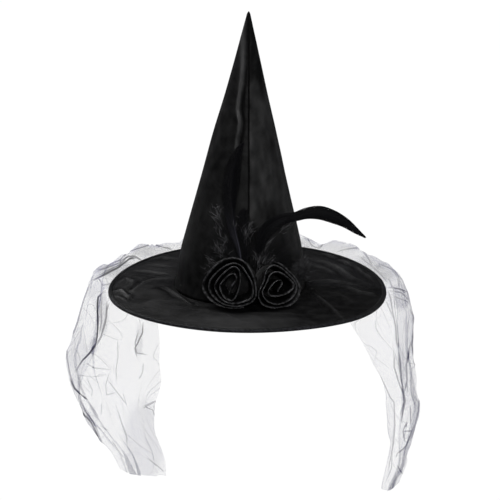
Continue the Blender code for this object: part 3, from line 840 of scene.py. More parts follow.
# Brim: a padded disc with a wired edge, wrinkled where the satin is loose over its filling
brimCloth = {
    "columns": 620,
    "rowsTop": 84,
    "rowsUnder": 22,
    "crumple": 0.0008,
    "foldGain": 1.4,
    "brightRise": 0.0013,     # the rise at which a fold is fully bright
    "quiet": (0.012, -0.098, 0.052, 0.75),   # flat under the roses: middle, half width, how much
    # painted sheen over the whole brim, darker towards the right
    "paintedSheen": (0.14, -2.0, 0.30),             # everywhere, to a metre rightwards, clouds
    # painted lighter areas of the top: middle, half width, how much
    "lighter": ((-0.115, 0.085, 0.045, 0.08), (0.125, 0.095, 0.05, 0.5)),
    # loose folds on top: pixels along each, rise, half width, and how deep a hollow on which side
    "folds": (
        ((129, 295, 137, 286.5, 146, 281, 156, 278.6, 176, 278.6, 184, 281), 0.0016, 0.0045, 0.8),
        ((136, 268, 147, 270, 165, 273, 176, 275), 0.0012, 0.0045, -0.6),
        ((131, 273, 148, 275, 170, 277), -0.0008, 0.004, 0),
        ((152, 258, 163, 257, 176, 258), 0.0016, 0.005, -0.6),
        ((150, 263, 163, 265, 176, 266), 0.0009, 0.004, -0.5),
        ((118, 282, 126, 276, 133, 279, 132, 284), 0.0013, 0.0045, 0.5),
        ((114, 288, 121, 288, 130, 294), 0.0016, 0.004, 0.6),
        ((116, 293, 122, 295, 127, 299), 0.001, 0.0035, 0.5),
        ((120, 286, 125, 291, 129, 296), 0.0008, 0.003, 0.5),
        ((167.7, 287, 179, 296, 191, 304), 0.0015, 0.0034, 0.9),
        ((150, 288, 160, 287, 168, 291, 174, 297), -0.0009, 0.005, 0),
        ((182, 285, 190, 292, 200, 299), 0.0011, 0.0036, 0.6),
        ((140, 303, 160, 300, 178, 301), 0.0006, 0.006, 0.4),
        ((312.5, 258.5, 328, 262, 342, 268, 353, 276, 370, 281), 0.0016, 0.0048, -0.8),
        ((312, 265, 326, 268, 340, 274), 0.0009, 0.004, -0.6),
        ((312, 271, 335, 274, 349, 278), -0.001, 0.0045, 0),
        ((303, 283, 312.5, 281, 328, 279.5, 345, 281, 362, 284), 0.0013, 0.0038, -0.8),
        ((345, 284, 360, 289, 380, 291), 0.0013, 0.005, -0.9),
        ((300, 288, 312, 292, 322, 299, 332, 306, 343, 316), 0.0014, 0.0036, -0.8),
        ((306, 288, 314, 289, 320, 294), 0.0011, 0.0032, -0.6),
        ((325, 291, 340, 293, 352, 298), 0.0007, 0.0045, -0.7),
        ((320, 254, 327, 254, 335, 257), 0.0013, 0.0034, -0.6),
        ((340, 259, 347, 261, 352, 264), 0.0014, 0.0034, -0.6),
        ((355, 264, 361, 268, 364, 271), 0.0014, 0.0034, -0.6),
        ((364, 271, 370, 274, 374, 279), 0.0013, 0.0034, -0.6),
        ((238, 310, 262, 313, 292, 313), 0.0007, 0.007, 0.4),
        ((196, 308, 226, 314, 244, 322), 0.0007, 0.008, 0.4),
    ),
}


def buildBrim():
    c = brimCloth
    angle = np.linspace(0, 2 * math.pi, c["columns"] + 1)
    top = np.linspace(0, 1, c["rowsTop"]) ** 0.85
    under = np.linspace(1, 0, c["rowsUnder"])
    share = np.concatenate([top, under])
    angles, shares = np.meshgrid(angle[:-1], share)
    points = onBrim(angles, shares)
    onTop = np.zeros(shares.shape, bool)
    onTop[:c["rowsTop"]] = True
    kept = easeShare(shares / 0.12) * easeShare((1 - shares) / 0.10)

    # folds are ridges with a shallow hollow beside them
    rise = cloudAt(points * (0.85, 1.3, 0), 0.030, 3, 2) * c["crumple"] * 0.8
    creased = np.maximum(1 - 4 * np.abs(cloudAt(points * (0.7, 1.5, 0), 0.028, 4)), 0) ** 2
    beside = easeShare((np.abs(points[..., 0] - 0.010) - 0.07) / 0.05)
    rise += creased * c["crumple"] * 0.35 * beside
    # painted highlight along the creases
    shine = 0.2 * creased * beside
    spots = points[..., :2]
    for pixels, height, width, hollow in c["folds"]:
        line = [fromPhoto(px, py, brimTop)[:2] for px, py in pairs(pixels)]
        away, along, side = lineDistance(spots, line)
        ends = np.sin(math.pi * np.clip(along, 0.08, 0.92)) ** 0.7
        crest = np.exp(-(away / width / 0.68) ** 1.2)
        below = abs(hollow) * bell(away * side * np.sign(hollow) - 1.9 * width, width)
        fold = height * (crest - below) * ends
        rise += c["foldGain"] * fold
        # painted highlight on each fold's crest and painted shade in its hollow
        shine += fold / c["brightRise"]
    underneath = cloudAt(points * (1, 1, 0), 0.024, 5, 2) * c["crumple"] * 0.6
    lift = np.where(onTop, rise, underneath) * kept

    # little stirs where the roses lie on the brim
    x, y, wide, much = c["quiet"]
    stirring = 1 - much * bell(np.hypot(points[..., 0] - x, points[..., 1] - y), wide)
    lift *= np.where(onTop, stirring, 1)
    points[..., 2] += np.where(onTop, brimTop, -brimTop) + lift
    flat = points[..., :2]
    flat = np.concatenate([flat, flat[:, :1]], 1)
    uv = np.concatenate([flat, flat[:1]], 0)
    # painted sheen and shade: brighter at the front and on the folds, darker at the crown's foot and
    # underneath
    base, slope, clouds = c["paintedSheen"]
    paintedSheen = base + slope * points[..., 0] + clouds * cloudAt(points, 0.045, 6, 2)
    paintedSheen += bell(points[..., 0], 0.08) * easeShare((-points[..., 1] - 0.11) / 0.04)
    for x, y, wide, much in c["lighter"]:
        paintedSheen += much * bell(np.hypot(points[..., 0] - x, points[..., 1] - y), wide)
    paintedSheen -= 0.4 * bell(np.hypot(points[..., 0], points[..., 1]) - 0.095, 0.02)
    paintedSheen += shine * onTop * stirring
    paintedSheen = np.clip(paintedSheen * np.where(onTop, 1, 0.6), 0, 1.9)
    brim = gridPiece("brimCloth", points, uv, blackSatin, {"paintedSheen": paintedSheen}, wrapRound=True, wrapOver=True)
    return closeUp(brim)


# Rim: bias tape folded over the wire, with machine stitches above and below
rimTape = {
    "columns": 900,
    "thick": 0.0008,
    "width": 0.0040,
    "pucker": 0.00016,
    "puckerEvery": 0.0062,
    "stitchEvery": 0.0031,
    "stitchLong": 0.0023,
    "stitchThick": 0.00042,
    "stitchIn": 0.0030,
}


def buildRim():
    c = rimTape
    inner = brimTop + hat["gap"]
    outer = inner + c["thick"]
    bulge = hat["wireBulge"]
    wide, gap = c["width"], hat["gap"]
    # the tape's section: the top lap inwards to outwards, round the wire, the lap below, then its inside
    lap = [(-wide, outer - 0.0003), (-wide + 0.0004, outer), (-0.002, outer), (gap, outer)]
    bends = np.radians([64, 42, 20, 0, -20, -42, -64])
    overWire = [(bulge * math.cos(a), outer * math.sin(a)) for a in bends]
    profile = lap + overWire + [(out, -up) for out, up in reversed(lap)]
    profile += [(-wide, -inner), (gap, -inner), (gap, inner), (-wide, inner)]
    angle = np.linspace(0, 2 * math.pi, c["columns"] + 1)
    angles, rows = np.meshgrid(angle[:-1], np.arange(len(profile)))
    outs, ups = np.array(profile)[rows][..., 0], np.array(profile)[rows][..., 1]
    arc = angles * hat["rimRadius"]
    wave = np.sin(arc * 2 * math.pi / c["puckerEvery"] + 1.7 * np.sin(angles * 9))
    visible = np.abs(ups) > inner + 0.0002
    ups = ups + np.where(visible, np.sign(ups) * c["pucker"] * wave * (outs < 0.0002), 0)
    outs = outs + np.where(outs < -0.0035, c["pucker"] * 1.5 * wave, 0)
    outs = outs + np.where(outs > 0.0008, 0.00018 * cloudOn(arc / 0.02, 0, 8), 0)
    points = onBrim(angles, np.ones_like(angles), outs)
    points[..., 2] += ups
    lengths = runOf(np.hypot(*np.diff(np.array(profile + profile[:1]), axis=0).T))
    uv = np.stack(np.meshgrid(angle * hat["rimRadius"], lengths), -1)
    edge = np.clip((outs - 0.0002) / 0.0012, 0, 1)
    tape = gridPiece("rimTape", points, uv, biasTape, {"edge": edge}, wrapRound=True, wrapOver=True)
    closeUp(tape)
    turn = np.linspace(0, 2 * math.pi, 721)
    rings = []
    for side in (1, -1):
        line = onBrim(turn, np.ones_like(turn), np.full_like(turn, -c["stitchIn"]))
        line[:, 2] += side * (outer + 0.00005)
        rings.append((line, c["stitchThick"] / 2, 0.0))
    stitches = grown("rimStitches", rings, stitchNodes, {
        "Spacing": c["stitchEvery"], "Length": c["stitchLong"], "Thickness": c["stitchThick"],
        "Material": sewingThread})
    return tape, stitches


# Roses: one long folded ribbon, rolled from the heart outwards and gathered on a backing
roses = {
    "left": {
        # pixels along the ribbon's lip, from the heart outwards
        "roll": (
            228, 295, 230.5, 287.5, 233.4, 283, 235.9, 278.8, 233.9, 274.2, 229, 275.6, 224, 280.4,
            219.9, 286.2, 221, 292, 224.2, 297.4, 229, 300.6, 233.4, 299.8, 236.8, 294, 239.2, 286,
            240, 277.6, 238.6, 270.2, 234.6, 267, 229.6, 268.6, 223.6, 273.4, 217.8, 279.8, 214.6, 286.2,
            216.4, 292.6, 220.6, 298.4, 227, 302.6, 234.2, 304, 243.4, 302.2, 250.6, 299.2, 253, 293.4,
            252.8, 286.4, 250.2, 279.8, 246, 272.8, 241.6, 266.8, 236, 263.8, 229.2, 264.4, 222, 268.2,
            215, 274.2, 209.8, 281, 208.6, 287.4, 211, 294.2, 216.2, 300, 223.4, 304.2, 232.6, 306.4,
            242.6, 306, 250.8, 303, 255.4, 297.6, 256, 289, 254.2, 279.8, 250, 269.8, 244.6, 262.2,
            236.4, 258.4, 228.4, 258.6, 220.4, 261.8, 213.2, 267.6, 207.2, 274.8, 202.6, 283, 202.8, 290,
            206.8, 297, 213.4, 302.8, 222, 306.6, 233, 308.4, 244, 307.6,
        ),
        "centre": (229.5, 283.5), "half": (0.0375, 0.0355), "rise": (0.0262, 0.0120),
        "turn": -8, "shift": -0.0025, "seed": 11,
    },
    "right": {
        "roll": (
            277.6, 291.6, 279.4, 288.2, 281.6, 285, 282.2, 281.8, 279.4, 280.6, 275, 283, 271.2, 287.4,
            268.8, 291.6, 270.2, 295.2, 275, 296.2, 280.4, 295.8, 286, 294, 291, 291, 293.8, 287,
            293.2, 283, 289.8, 279.4, 285, 275.6, 279.2, 272.4, 273.6, 272.8, 269.8, 276.4, 267.8, 281.8,
            265.2, 287.4, 263, 292.2, 264.6, 297.8, 269, 302.4, 275.8, 304.4, 283.4, 303.2, 289.6, 300.2,
            294.2, 296, 296.8, 290.4, 296.6, 284.4, 292.8, 278.6, 286.8, 272.6, 280.2, 267.4, 273.8, 265.4,
            268.4, 268.4, 265.6, 274, 264.6, 280.4, 261.8, 286.6, 259.2, 293.2, 259.4, 299.4, 262.8, 304.6,
            269, 307.4, 276.6, 308.4, 285.2, 307.4, 292.6, 303.8, 298, 298.4, 300.2, 291.4, 299.4, 284.6,
            296.2, 278.8, 291, 273.2, 285.4, 267.6, 280, 263.6, 274.4, 261.8,
        ),
        "centre": (279.5, 286.0), "half": (0.0328, 0.0305), "rise": (0.0255, 0.0130),
        "turn": 25, "shift": 0.0065, "seed": 12,
    },
    "tilt": 8,               # degrees
    "touch": 0.054,          # height at which the backings touch the crown
    "standoff": 0.0050,
    "every": 0.0012,         # length of ribbon between two columns
    "rows": 16,
    "body": 0.00050,         # half the ribbon's thickness
    "lip": 0.00085,          # half the thickness of its folded lip
    "footShare": 0.74,
    "belly": (0.43, 0.43, 0.55),   # how far along and up from foot to lip the ribbon bulges
    "curl": 0.0006,
    "waves": ((0.0012, 0.030), (0.0005, 0.009)),   # rise and length of the lip's waves
    "gather": 0.0005,
    "gatherEvery": 0.0052,
    "backing": 0.0015,
    "backingReach": 0.86,
}


def buildRose(name, rose):
    c = roses
    seed = rose["seed"]
    # the rose's own frame: +Z away from the crown and a little up
    turn = math.radians(rose["turn"])
    sideways = np.array((math.cos(turn), math.sin(turn), 0))
    ahead = np.array((math.sin(turn), -math.cos(turn), 0))
    tip = math.pi / 2 - math.radians(c["tilt"])
    cos, sin = math.cos(tip), math.sin(tip)
    facing = np.array((sideways, -ahead, (0, 0, 1))).T
    facing = facing @ np.array(((1, 0, 0), (0, cos, -sin), (0, sin, cos)))
    seat = ahead * (crownRadius(c["touch"]) + c["standoff"]) + sideways * rose["shift"]
    seat = seat + (crownAxis(c["touch"]), 0, c["touch"])
    alongUp = facing @ (0, 1, 0)
    seat = seat + alongUp * (rose["half"][1] - c["touch"]) / alongUp[2]

    # the lip's path, laid on the rose's face and spaced evenly
    roll = pairs(rose["roll"])
    fine = np.linspace(0, len(roll) - 1, 3000)
    pixels = np.stack([through(list(roll[:, f]), fine) for f in range(2)], -1)
    rise = blendTo(rose["rise"][0], rose["rise"][1], (fine / fine[-1]) ** 1.4)

    def onFace(spots, level):
        ray = photoRay(spots[..., 0], spots[..., 1])
        reach = (level - (viewEye - seat) @ facing[:, 2]) / (ray @ facing[:, 2])
        return (viewEye + ray * reach[..., None] - seat) @ facing

    lip = onFace(pixels, rise)
    arc = runOf(np.linalg.norm(np.diff(lip, axis=0), axis=1))
    even = np.linspace(0, arc[-1], int(arc[-1] / c["every"]))
    lip = np.stack([np.interp(even, arc, lip[:, f]) for f in range(3)], -1)
    arc = even
    lip[:, 2] += sum(much * cloudOn(arc / long, 0, seed + k) for k, (much, long) in enumerate(c["waves"]))
    heart = onFace(np.array(rose["centre"]), np.array(rose["rise"][0])) * (1, 1, 0)
    heart[2] = 0
    foot = heart + (lip - heart) * (c["footShare"], c["footShare"], 0) + (0, 0, c["backing"] / 2)
    k = np.arange(len(arc))
    ahead = np.gradient(lip, axis=0)
    outward = np.stack([ahead[:, 1], -ahead[:, 0], 0 * arc], -1)
    outward /= np.linalg.norm(outward, axis=1)[:, None]

    # centre line of the ribbon's section, then its two faces and round lip
    t = np.linspace(0, 1, c["rows"])[:, None]
    middle = foot + (lip - foot) * c["belly"]
    shares = (1 - t) ** 2, 2 * t * (1 - t), t ** 2
    centre = sum(part[..., None] * line for part, line in zip(shares, (foot, middle, lip)))
    pleat = np.sin(arc * 2 * math.pi / c["gatherEvery"] + 2 * cloudOn(arc / 0.02, 0, seed + 3))
    fade = (1 - t) ** 1.5
    swell = pleat * c["gather"] * fade + c["curl"] * easeShare((t - 0.7) / 0.3)
    centre = centre + outward * swell[..., None]
    half = blendTo(c["body"], c["lip"], easeShare((t - 0.72) / 0.2))
    half = half * np.sqrt(np.clip(1 - np.clip((t - 0.93) / 0.07, 0, 1) ** 2, 0, 1))
    thin = np.clip(np.minimum(k, k[-1] - k) / 5, 0.12, 1)
    offset = outward * (half * thin)[..., None]
    rows = np.concatenate([centre + offset, (centre - offset)[::-1][1:]])

    points = rows @ facing.T + seat
    print(f"  {name}: ribbon {arc[-1]:.3f} m, lowest {points[..., 2].min() - brimTop:.4f} m over the brim")

    down = np.concatenate([t[:, 0], t[::-1][1:, 0]])
    uv = np.stack(np.meshgrid(arc, down * 0.03), -1)
    # painted sheen: lighter on the folded lip, uneven along the ribbon
    folded = np.broadcast_to(easeShare((down - 0.8) / 0.15)[:, None], points.shape[:2])
    roseSheen = 0.6 * folded + 0.5 * cloudOn(uv[..., 0] / 0.008, uv[..., 1] / 0.02, seed + 5)
    uv = np.concatenate([uv, uv[:1]], 0)
    band = gridPiece(name, points, uv, roseSatin, {"edge": folded, "paintedSheen": roseSheen}, wrapOver=True)
    fillEnds(band)

    # the backing: a plain gathered disc behind the roll
    spin = np.linspace(0, 2 * math.pi, 49)
    reach = np.array((0, 0.5, 0.95, 1.0, 0.95, 0.5, 0))
    level = np.array((1.0, 1.0, 1.0, 0.5, 0.0, 0.0, 0.0)) * c["backing"]
    discAngle, row = np.meshgrid(spin[:-1], np.arange(7))
    reach = reach[row] * c["backingReach"] * (1 + 0.02 * np.sin(discAngle * 17))
    disc = around(discAngle, reach, level[row]) * (*rose["half"], 1) + (heart[0], heart[1], 0)
    disc = disc @ facing.T + seat
    discUv = np.stack(np.meshgrid(spin * 0.03, np.arange(7) * 0.01), -1)
    backing = gridPiece(name + "Backing", disc, discUv, roseSatin, {}, wrapRound=True)
    closeUp(backing)
    return joinPieces(band, backing)


def fillEnds(piece):
    with meshOf(piece) as made:
        bmesh.ops.holes_fill(made, edges=[e for e in made.edges if e.is_boundary], sides=0)
        bmesh.ops.recalc_face_normals(made, faces=made.faces)
    piece.data.shade_smooth()


# Feathers: a quill with barbs on both sides that lean to the tip and cling in clumps
feathers = {
    "tall": {
        # x, height, off the crown, reach left, reach right
        "stations": (
            (0.0035, 0.048, 0.0038, 0.0011, 0.0011), (0, 0.076, 0.004, 0.004, 0.0012),
            (-0.006, 0.102, 0.0043, 0.0085, 0.0016), (-0.0095, 0.128, 0.0045, 0.0115, 0.0045),
            (-0.0105, 0.155, 0.0046, 0.0125, 0.0105), (-0.007, 0.182, 0.005, 0.011, 0.0105),
            (0.0005, 0.204, 0.006, 0.0065, 0.004), (0.006, 0.215, 0.007, 0.0008, 0.0008),
        ),
        "free": False, "seed": 21, "clump": 0.0062, "cling": 0.30, "ragged": 0.14, "quill": 0.00070,
        "quillLight": 0.8,
    },
    "short": {
        "stations": (
            (0.0085, 0.05, 0.0038, 0.001, 0.001), (0.0075, 0.08, 0.004, 0.0045, 0.004),
            (0.0065, 0.102, 0.0041, 0.0085, 0.007), (0.006, 0.12, 0.0042, 0.0085, 0.007),
            (0.0085, 0.129, 0.0046, 0.0035, 0.003),
        ),
        "free": False, "seed": 22, "clump": 0.0050, "cling": 0.25, "ragged": 0.12, "quill": 0.00060,
    },
    "curved": {
        # x, y, z, reach left, reach right
        "stations": (
            (0.0235, -0.0818, 0.048, 0.0011, 0.0011), (0.0245, -0.08, 0.062, 0.0013, 0.0013),
            (0.0262, -0.079, 0.0753, 0.005, 0.006), (0.0289, -0.078, 0.0929, 0.007, 0.011),
            (0.0354, -0.077, 0.1043, 0.0074, 0.0125), (0.0453, -0.076, 0.1123, 0.007, 0.012),
            (0.0585, -0.074, 0.1179, 0.0062, 0.0085), (0.0737, -0.071, 0.1188, 0.0062, 0.006),
            (0.089, -0.067, 0.122, 0.0078, 0.0072), (0.1063, -0.063, 0.1215, 0.0092, 0.0086),
            (0.1236, -0.06, 0.1151, 0.0088, 0.0082), (0.1398, -0.057, 0.106, 0.0068, 0.0062),
            (0.1547, -0.054, 0.094, 0.0042, 0.0038), (0.1696, -0.052, 0.0828, 0.0006, 0.0006),
        ),
        "free": True, "seed": 23, "clump": 0.0085, "cling": 0.02, "ragged": 0.01, "rootRagged": 0.45,
        "quill": 0.00075,
    },
    "barbEvery": 0.00036,
    "barbSteps": 7,
    "barbThick": 0.00026,
    "barbsOver": (0.10, 0.985),   # the share of the quill that carries them
    "lean": 33,              # degrees between barb and quill
    "frizz": {"Sides": 4, "Taper": 0.55, "Frizz": 0.0004, "Frizz Size": 0.004},
}


def buildFeather(name, feather):
    c = feathers
    stations = np.array(feather["stations"])
    fine = np.linspace(0, len(stations) - 1, 400)
    rows = np.stack([through(list(stations[:, f]), fine) for f in range(5)], -1)
    quill = rows[:, :3] if feather["free"] else onCrown(rows[:, 0], rows[:, 1], rows[:, 2])
    arc = runOf(np.linalg.norm(np.diff(quill, axis=0), axis=1))
    total = arc[-1]
    ahead = np.gradient(quill, axis=0)
    ahead /= np.linalg.norm(ahead, axis=1)[:, None]
    if feather["free"]:
        outward = np.tile((0.15, -1, 0.25), (len(quill), 1))
    else:
        x, y, z = quill.T
        outward = np.stack([x - crownAxis(z), y, np.abs(y) * 0.25], -1)
    across = np.cross(ahead, outward)
    across /= np.linalg.norm(across, axis=1)[:, None]
    facing = np.cross(across, ahead)
    at = lambda values, s: np.stack([np.interp(s, arc, values[:, f]) for f in range(values.shape[1])], -1)
    draw = np.random.default_rng(feather["seed"])

    # painted highlight: a lighter quill and lighter barb roots low on the feather
    light = feather.get("quillLight", 0)
    along = arc[::6] / total
    paths = [(quill[::6] + facing[::6] * 0.0004, feather["quill"] * (1 - 0.8 * along),
              light * easeShare(1.4 - 2.6 * along))]
    share = np.linspace(0, 1, c["barbSteps"])
    lean = math.radians(c["lean"])
    for side, column in ((-1, 3), (1, 4)):
        reachAt = lambda s: np.interp(s, arc, rows[:, column])
        start = total * c["barbsOver"][0]
        while start < total * c["barbsOver"][1]:
            # the barb's end lies on the vane's outline, further up the quill
            end = start
            for _ in range(4):
                end = min(start + reachAt(end) / math.tan(lean), total)
            clump = feather["clump"] * (1 + 0.3 * side)
            centre = (math.floor(end / clump) + 0.5) * clump
            ragged = feather["ragged"]
            if side > 0:
                ragged += feather.get("rootRagged", 0) * max(1 - end / total / 0.42, 0)
            split = 0.7 * ragged * (abs(end - centre) / clump) ** 2
            wide = reachAt(end) * (1.03 - ragged * draw.random() - split)
            end = blendTo(end, centre, feather["cling"] * draw.uniform(0.6, 1.0))
            s = start + (min(end, total * 1.004) - start) * share ** 0.85
            out = wide * (1 - (1 - share) ** 1.35)
            camber = 0.0007 * np.sin(math.pi * share) + 0.0005 * draw.uniform(-1, 1) * share
            path = at(quill, s) + at(across, s) * (side * out)[:, None] + at(facing, s) * camber[:, None]
            paths.append((path, c["barbThick"] * draw.uniform(0.8, 1.15),
                          0.2 * light * easeShare(1.5 - 3 * start / total)))
            start += c["barbEvery"] * draw.uniform(0.85, 1.15)
    return grown(name, paths, strandNodes, {**c["frizz"], "Seed": feather["seed"], "Material": glossPlume})


# Down: fans of fine barbs over the crown's front
down = {
    "left": {
        "root": (0.0010, 0.0600),
        # heading in degrees, length
        "locks": (
            (168, 0.04), (151, 0.052), (136, 0.062), (124, 0.074), (113, 0.082), (101, 0.064), (84, 0.046),
            (66, 0.034), (52, 0.04), (38, 0.036),
        ),
        # painted highlights as light wisps: pixel, heading, length, how many pairs
        "wisps": (
            (219, 213, 118, 0.009, 16), (217.5, 218, 128, 0.008, 14), (220.5, 231, 130, 0.007, 14),
            (226, 240.5, 140, 0.007, 14), (219, 248, 105, 0.008, 22), (222, 254, 120, 0.008, 18),
            (212, 262, 160, 0.007, 12), (208, 270, 175, 0.006, 8), (247, 231.5, 62, 0.008, 18),
            (246, 237.5, 75, 0.008, 16), (249.5, 226.5, 50, 0.006, 10), (236, 225, 95, 0.006, 8),
        ),
        "seed": 31,
    },
    "right": {
        "root": (0.0300, 0.0560),
        "locks": (
            (128, 0.042), (112, 0.048), (91, 0.03), (72, 0.046), (53, 0.06), (34, 0.055), (15, 0.053),
            (-4, 0.062), (-20, 0.072),
        ),
        "wisps": (
            (266, 249, 58, 0.012, 12), (262, 243, 68, 0.01, 10), (284, 227, 24, 0.008, 12),
            (280, 229, 30, 0.007, 9), (260, 261, 95, 0.008, 18), (265, 262, 60, 0.008, 14),
            (270, 259, 40, 0.007, 10), (257.5, 268, 85, 0.006, 10), (302, 262, 40, 0.007, 10),
            (307, 268, 10, 0.006, 8), (306, 277, -20, 0.006, 8),
        ),
        "seed": 32,
    },
    "strands": 95,           # in each lock
    "steps": 9,
    "thick": 0.00016,
    "spread": 6.05,          # degrees
    "curl": 16,              # degrees
    "off": 0.0026,
    "lowest": 0.012,
    "light": (0.06, 0.94, 2.2),   # the wisps': least, range, how rare the lightest are
    "puff": {"centre": (0.0815, 0.0385), "reach": 0.0165, "strands": 560, "rise": 0.0052,
             "light": (0.04, 0.18)},
    "frizz": {"Sides": 3, "Taper": 0.7, "Frizz": 0.0022, "Frizz Size": 0.006},
}


def buildDown(name, tuft, puff=None):
    c = down
    draw = np.random.default_rng(tuft["seed"])
    share = np.linspace(0, 1, c["steps"])
    paths = []
    rootX, rootZ = tuft["root"]
    for heading, length in tuft["locks"]:
        bend = draw.uniform(-14, 14)
        for _ in range(c["strands"]):
            long = length * draw.uniform(0.45, 1.0)
            begin = draw.uniform(0, 0.30) * length
            own = heading + draw.normal(0, c["spread"])
            curl = bend + draw.normal(0, c["curl"])
            angles = np.radians(own + curl * share ** 1.3)
            step = (long - begin) / (c["steps"] - 1)
            x = rootX + begin * math.cos(math.radians(own)) + runOf(np.cos(angles[1:]) * step)
            z = rootZ + begin * math.sin(math.radians(own)) + runOf(np.sin(angles[1:]) * step)
            off = c["off"] + draw.uniform(-0.0006, 0.0010) + draw.uniform(0, 0.0026) * share ** 2
            z = np.maximum(z, c["lowest"])
            paths.append((onCrown(x, z, off), c["thick"] * draw.uniform(0.7, 1.3), 0.0))
    # painted highlights: short light strands at the wisps
    for px, py, heading, length, count in tuft["wisps"]:
        start = photoOnCrown(px, py, c["off"])
        for _ in range(count * 2):
            long = length * draw.uniform(0.6, 1.6)
            own = math.radians(heading + draw.normal(0, 26))
            angles = own + draw.normal(0, 0.6) * share
            x = start[0] + draw.normal(0, 0.0032) + runOf(np.cos(angles[1:])) * long / c["steps"]
            z = start[2] + draw.normal(0, 0.0042) + runOf(np.sin(angles[1:])) * long / c["steps"]
            off = c["off"] + 0.0022 + draw.uniform(0, 0.0016) * share
            least, span, rareness = c["light"]
            paths.append((onCrown(x, z, off), c["thick"] * 0.75, least + span * draw.random() ** rareness))
    if puff:
        for _ in range(puff["strands"]):
            heading = draw.uniform(0, 2 * math.pi)
            long = puff["reach"] * draw.uniform(0.55, 1.0)
            curl = draw.normal(0, 0.5)
            angles = heading + curl * share
            x = puff["centre"][0] + np.cos(angles) * long * share
            z = puff["centre"][1] + np.sin(angles) * long * share
            off = c["off"] + puff["rise"] * np.sin(math.pi * (share * 0.9 + 0.1)) * draw.uniform(0.2, 1.0)
            least, span = puff["light"]
            thick = c["thick"] * draw.uniform(0.7, 1.2)
            paths.append((onCrown(x, z, off), thick, least + span * draw.random()))
    return grown(name, paths, strandNodes, {**c["frizz"], "Seed": tuft["seed"], "Material": softPlume})


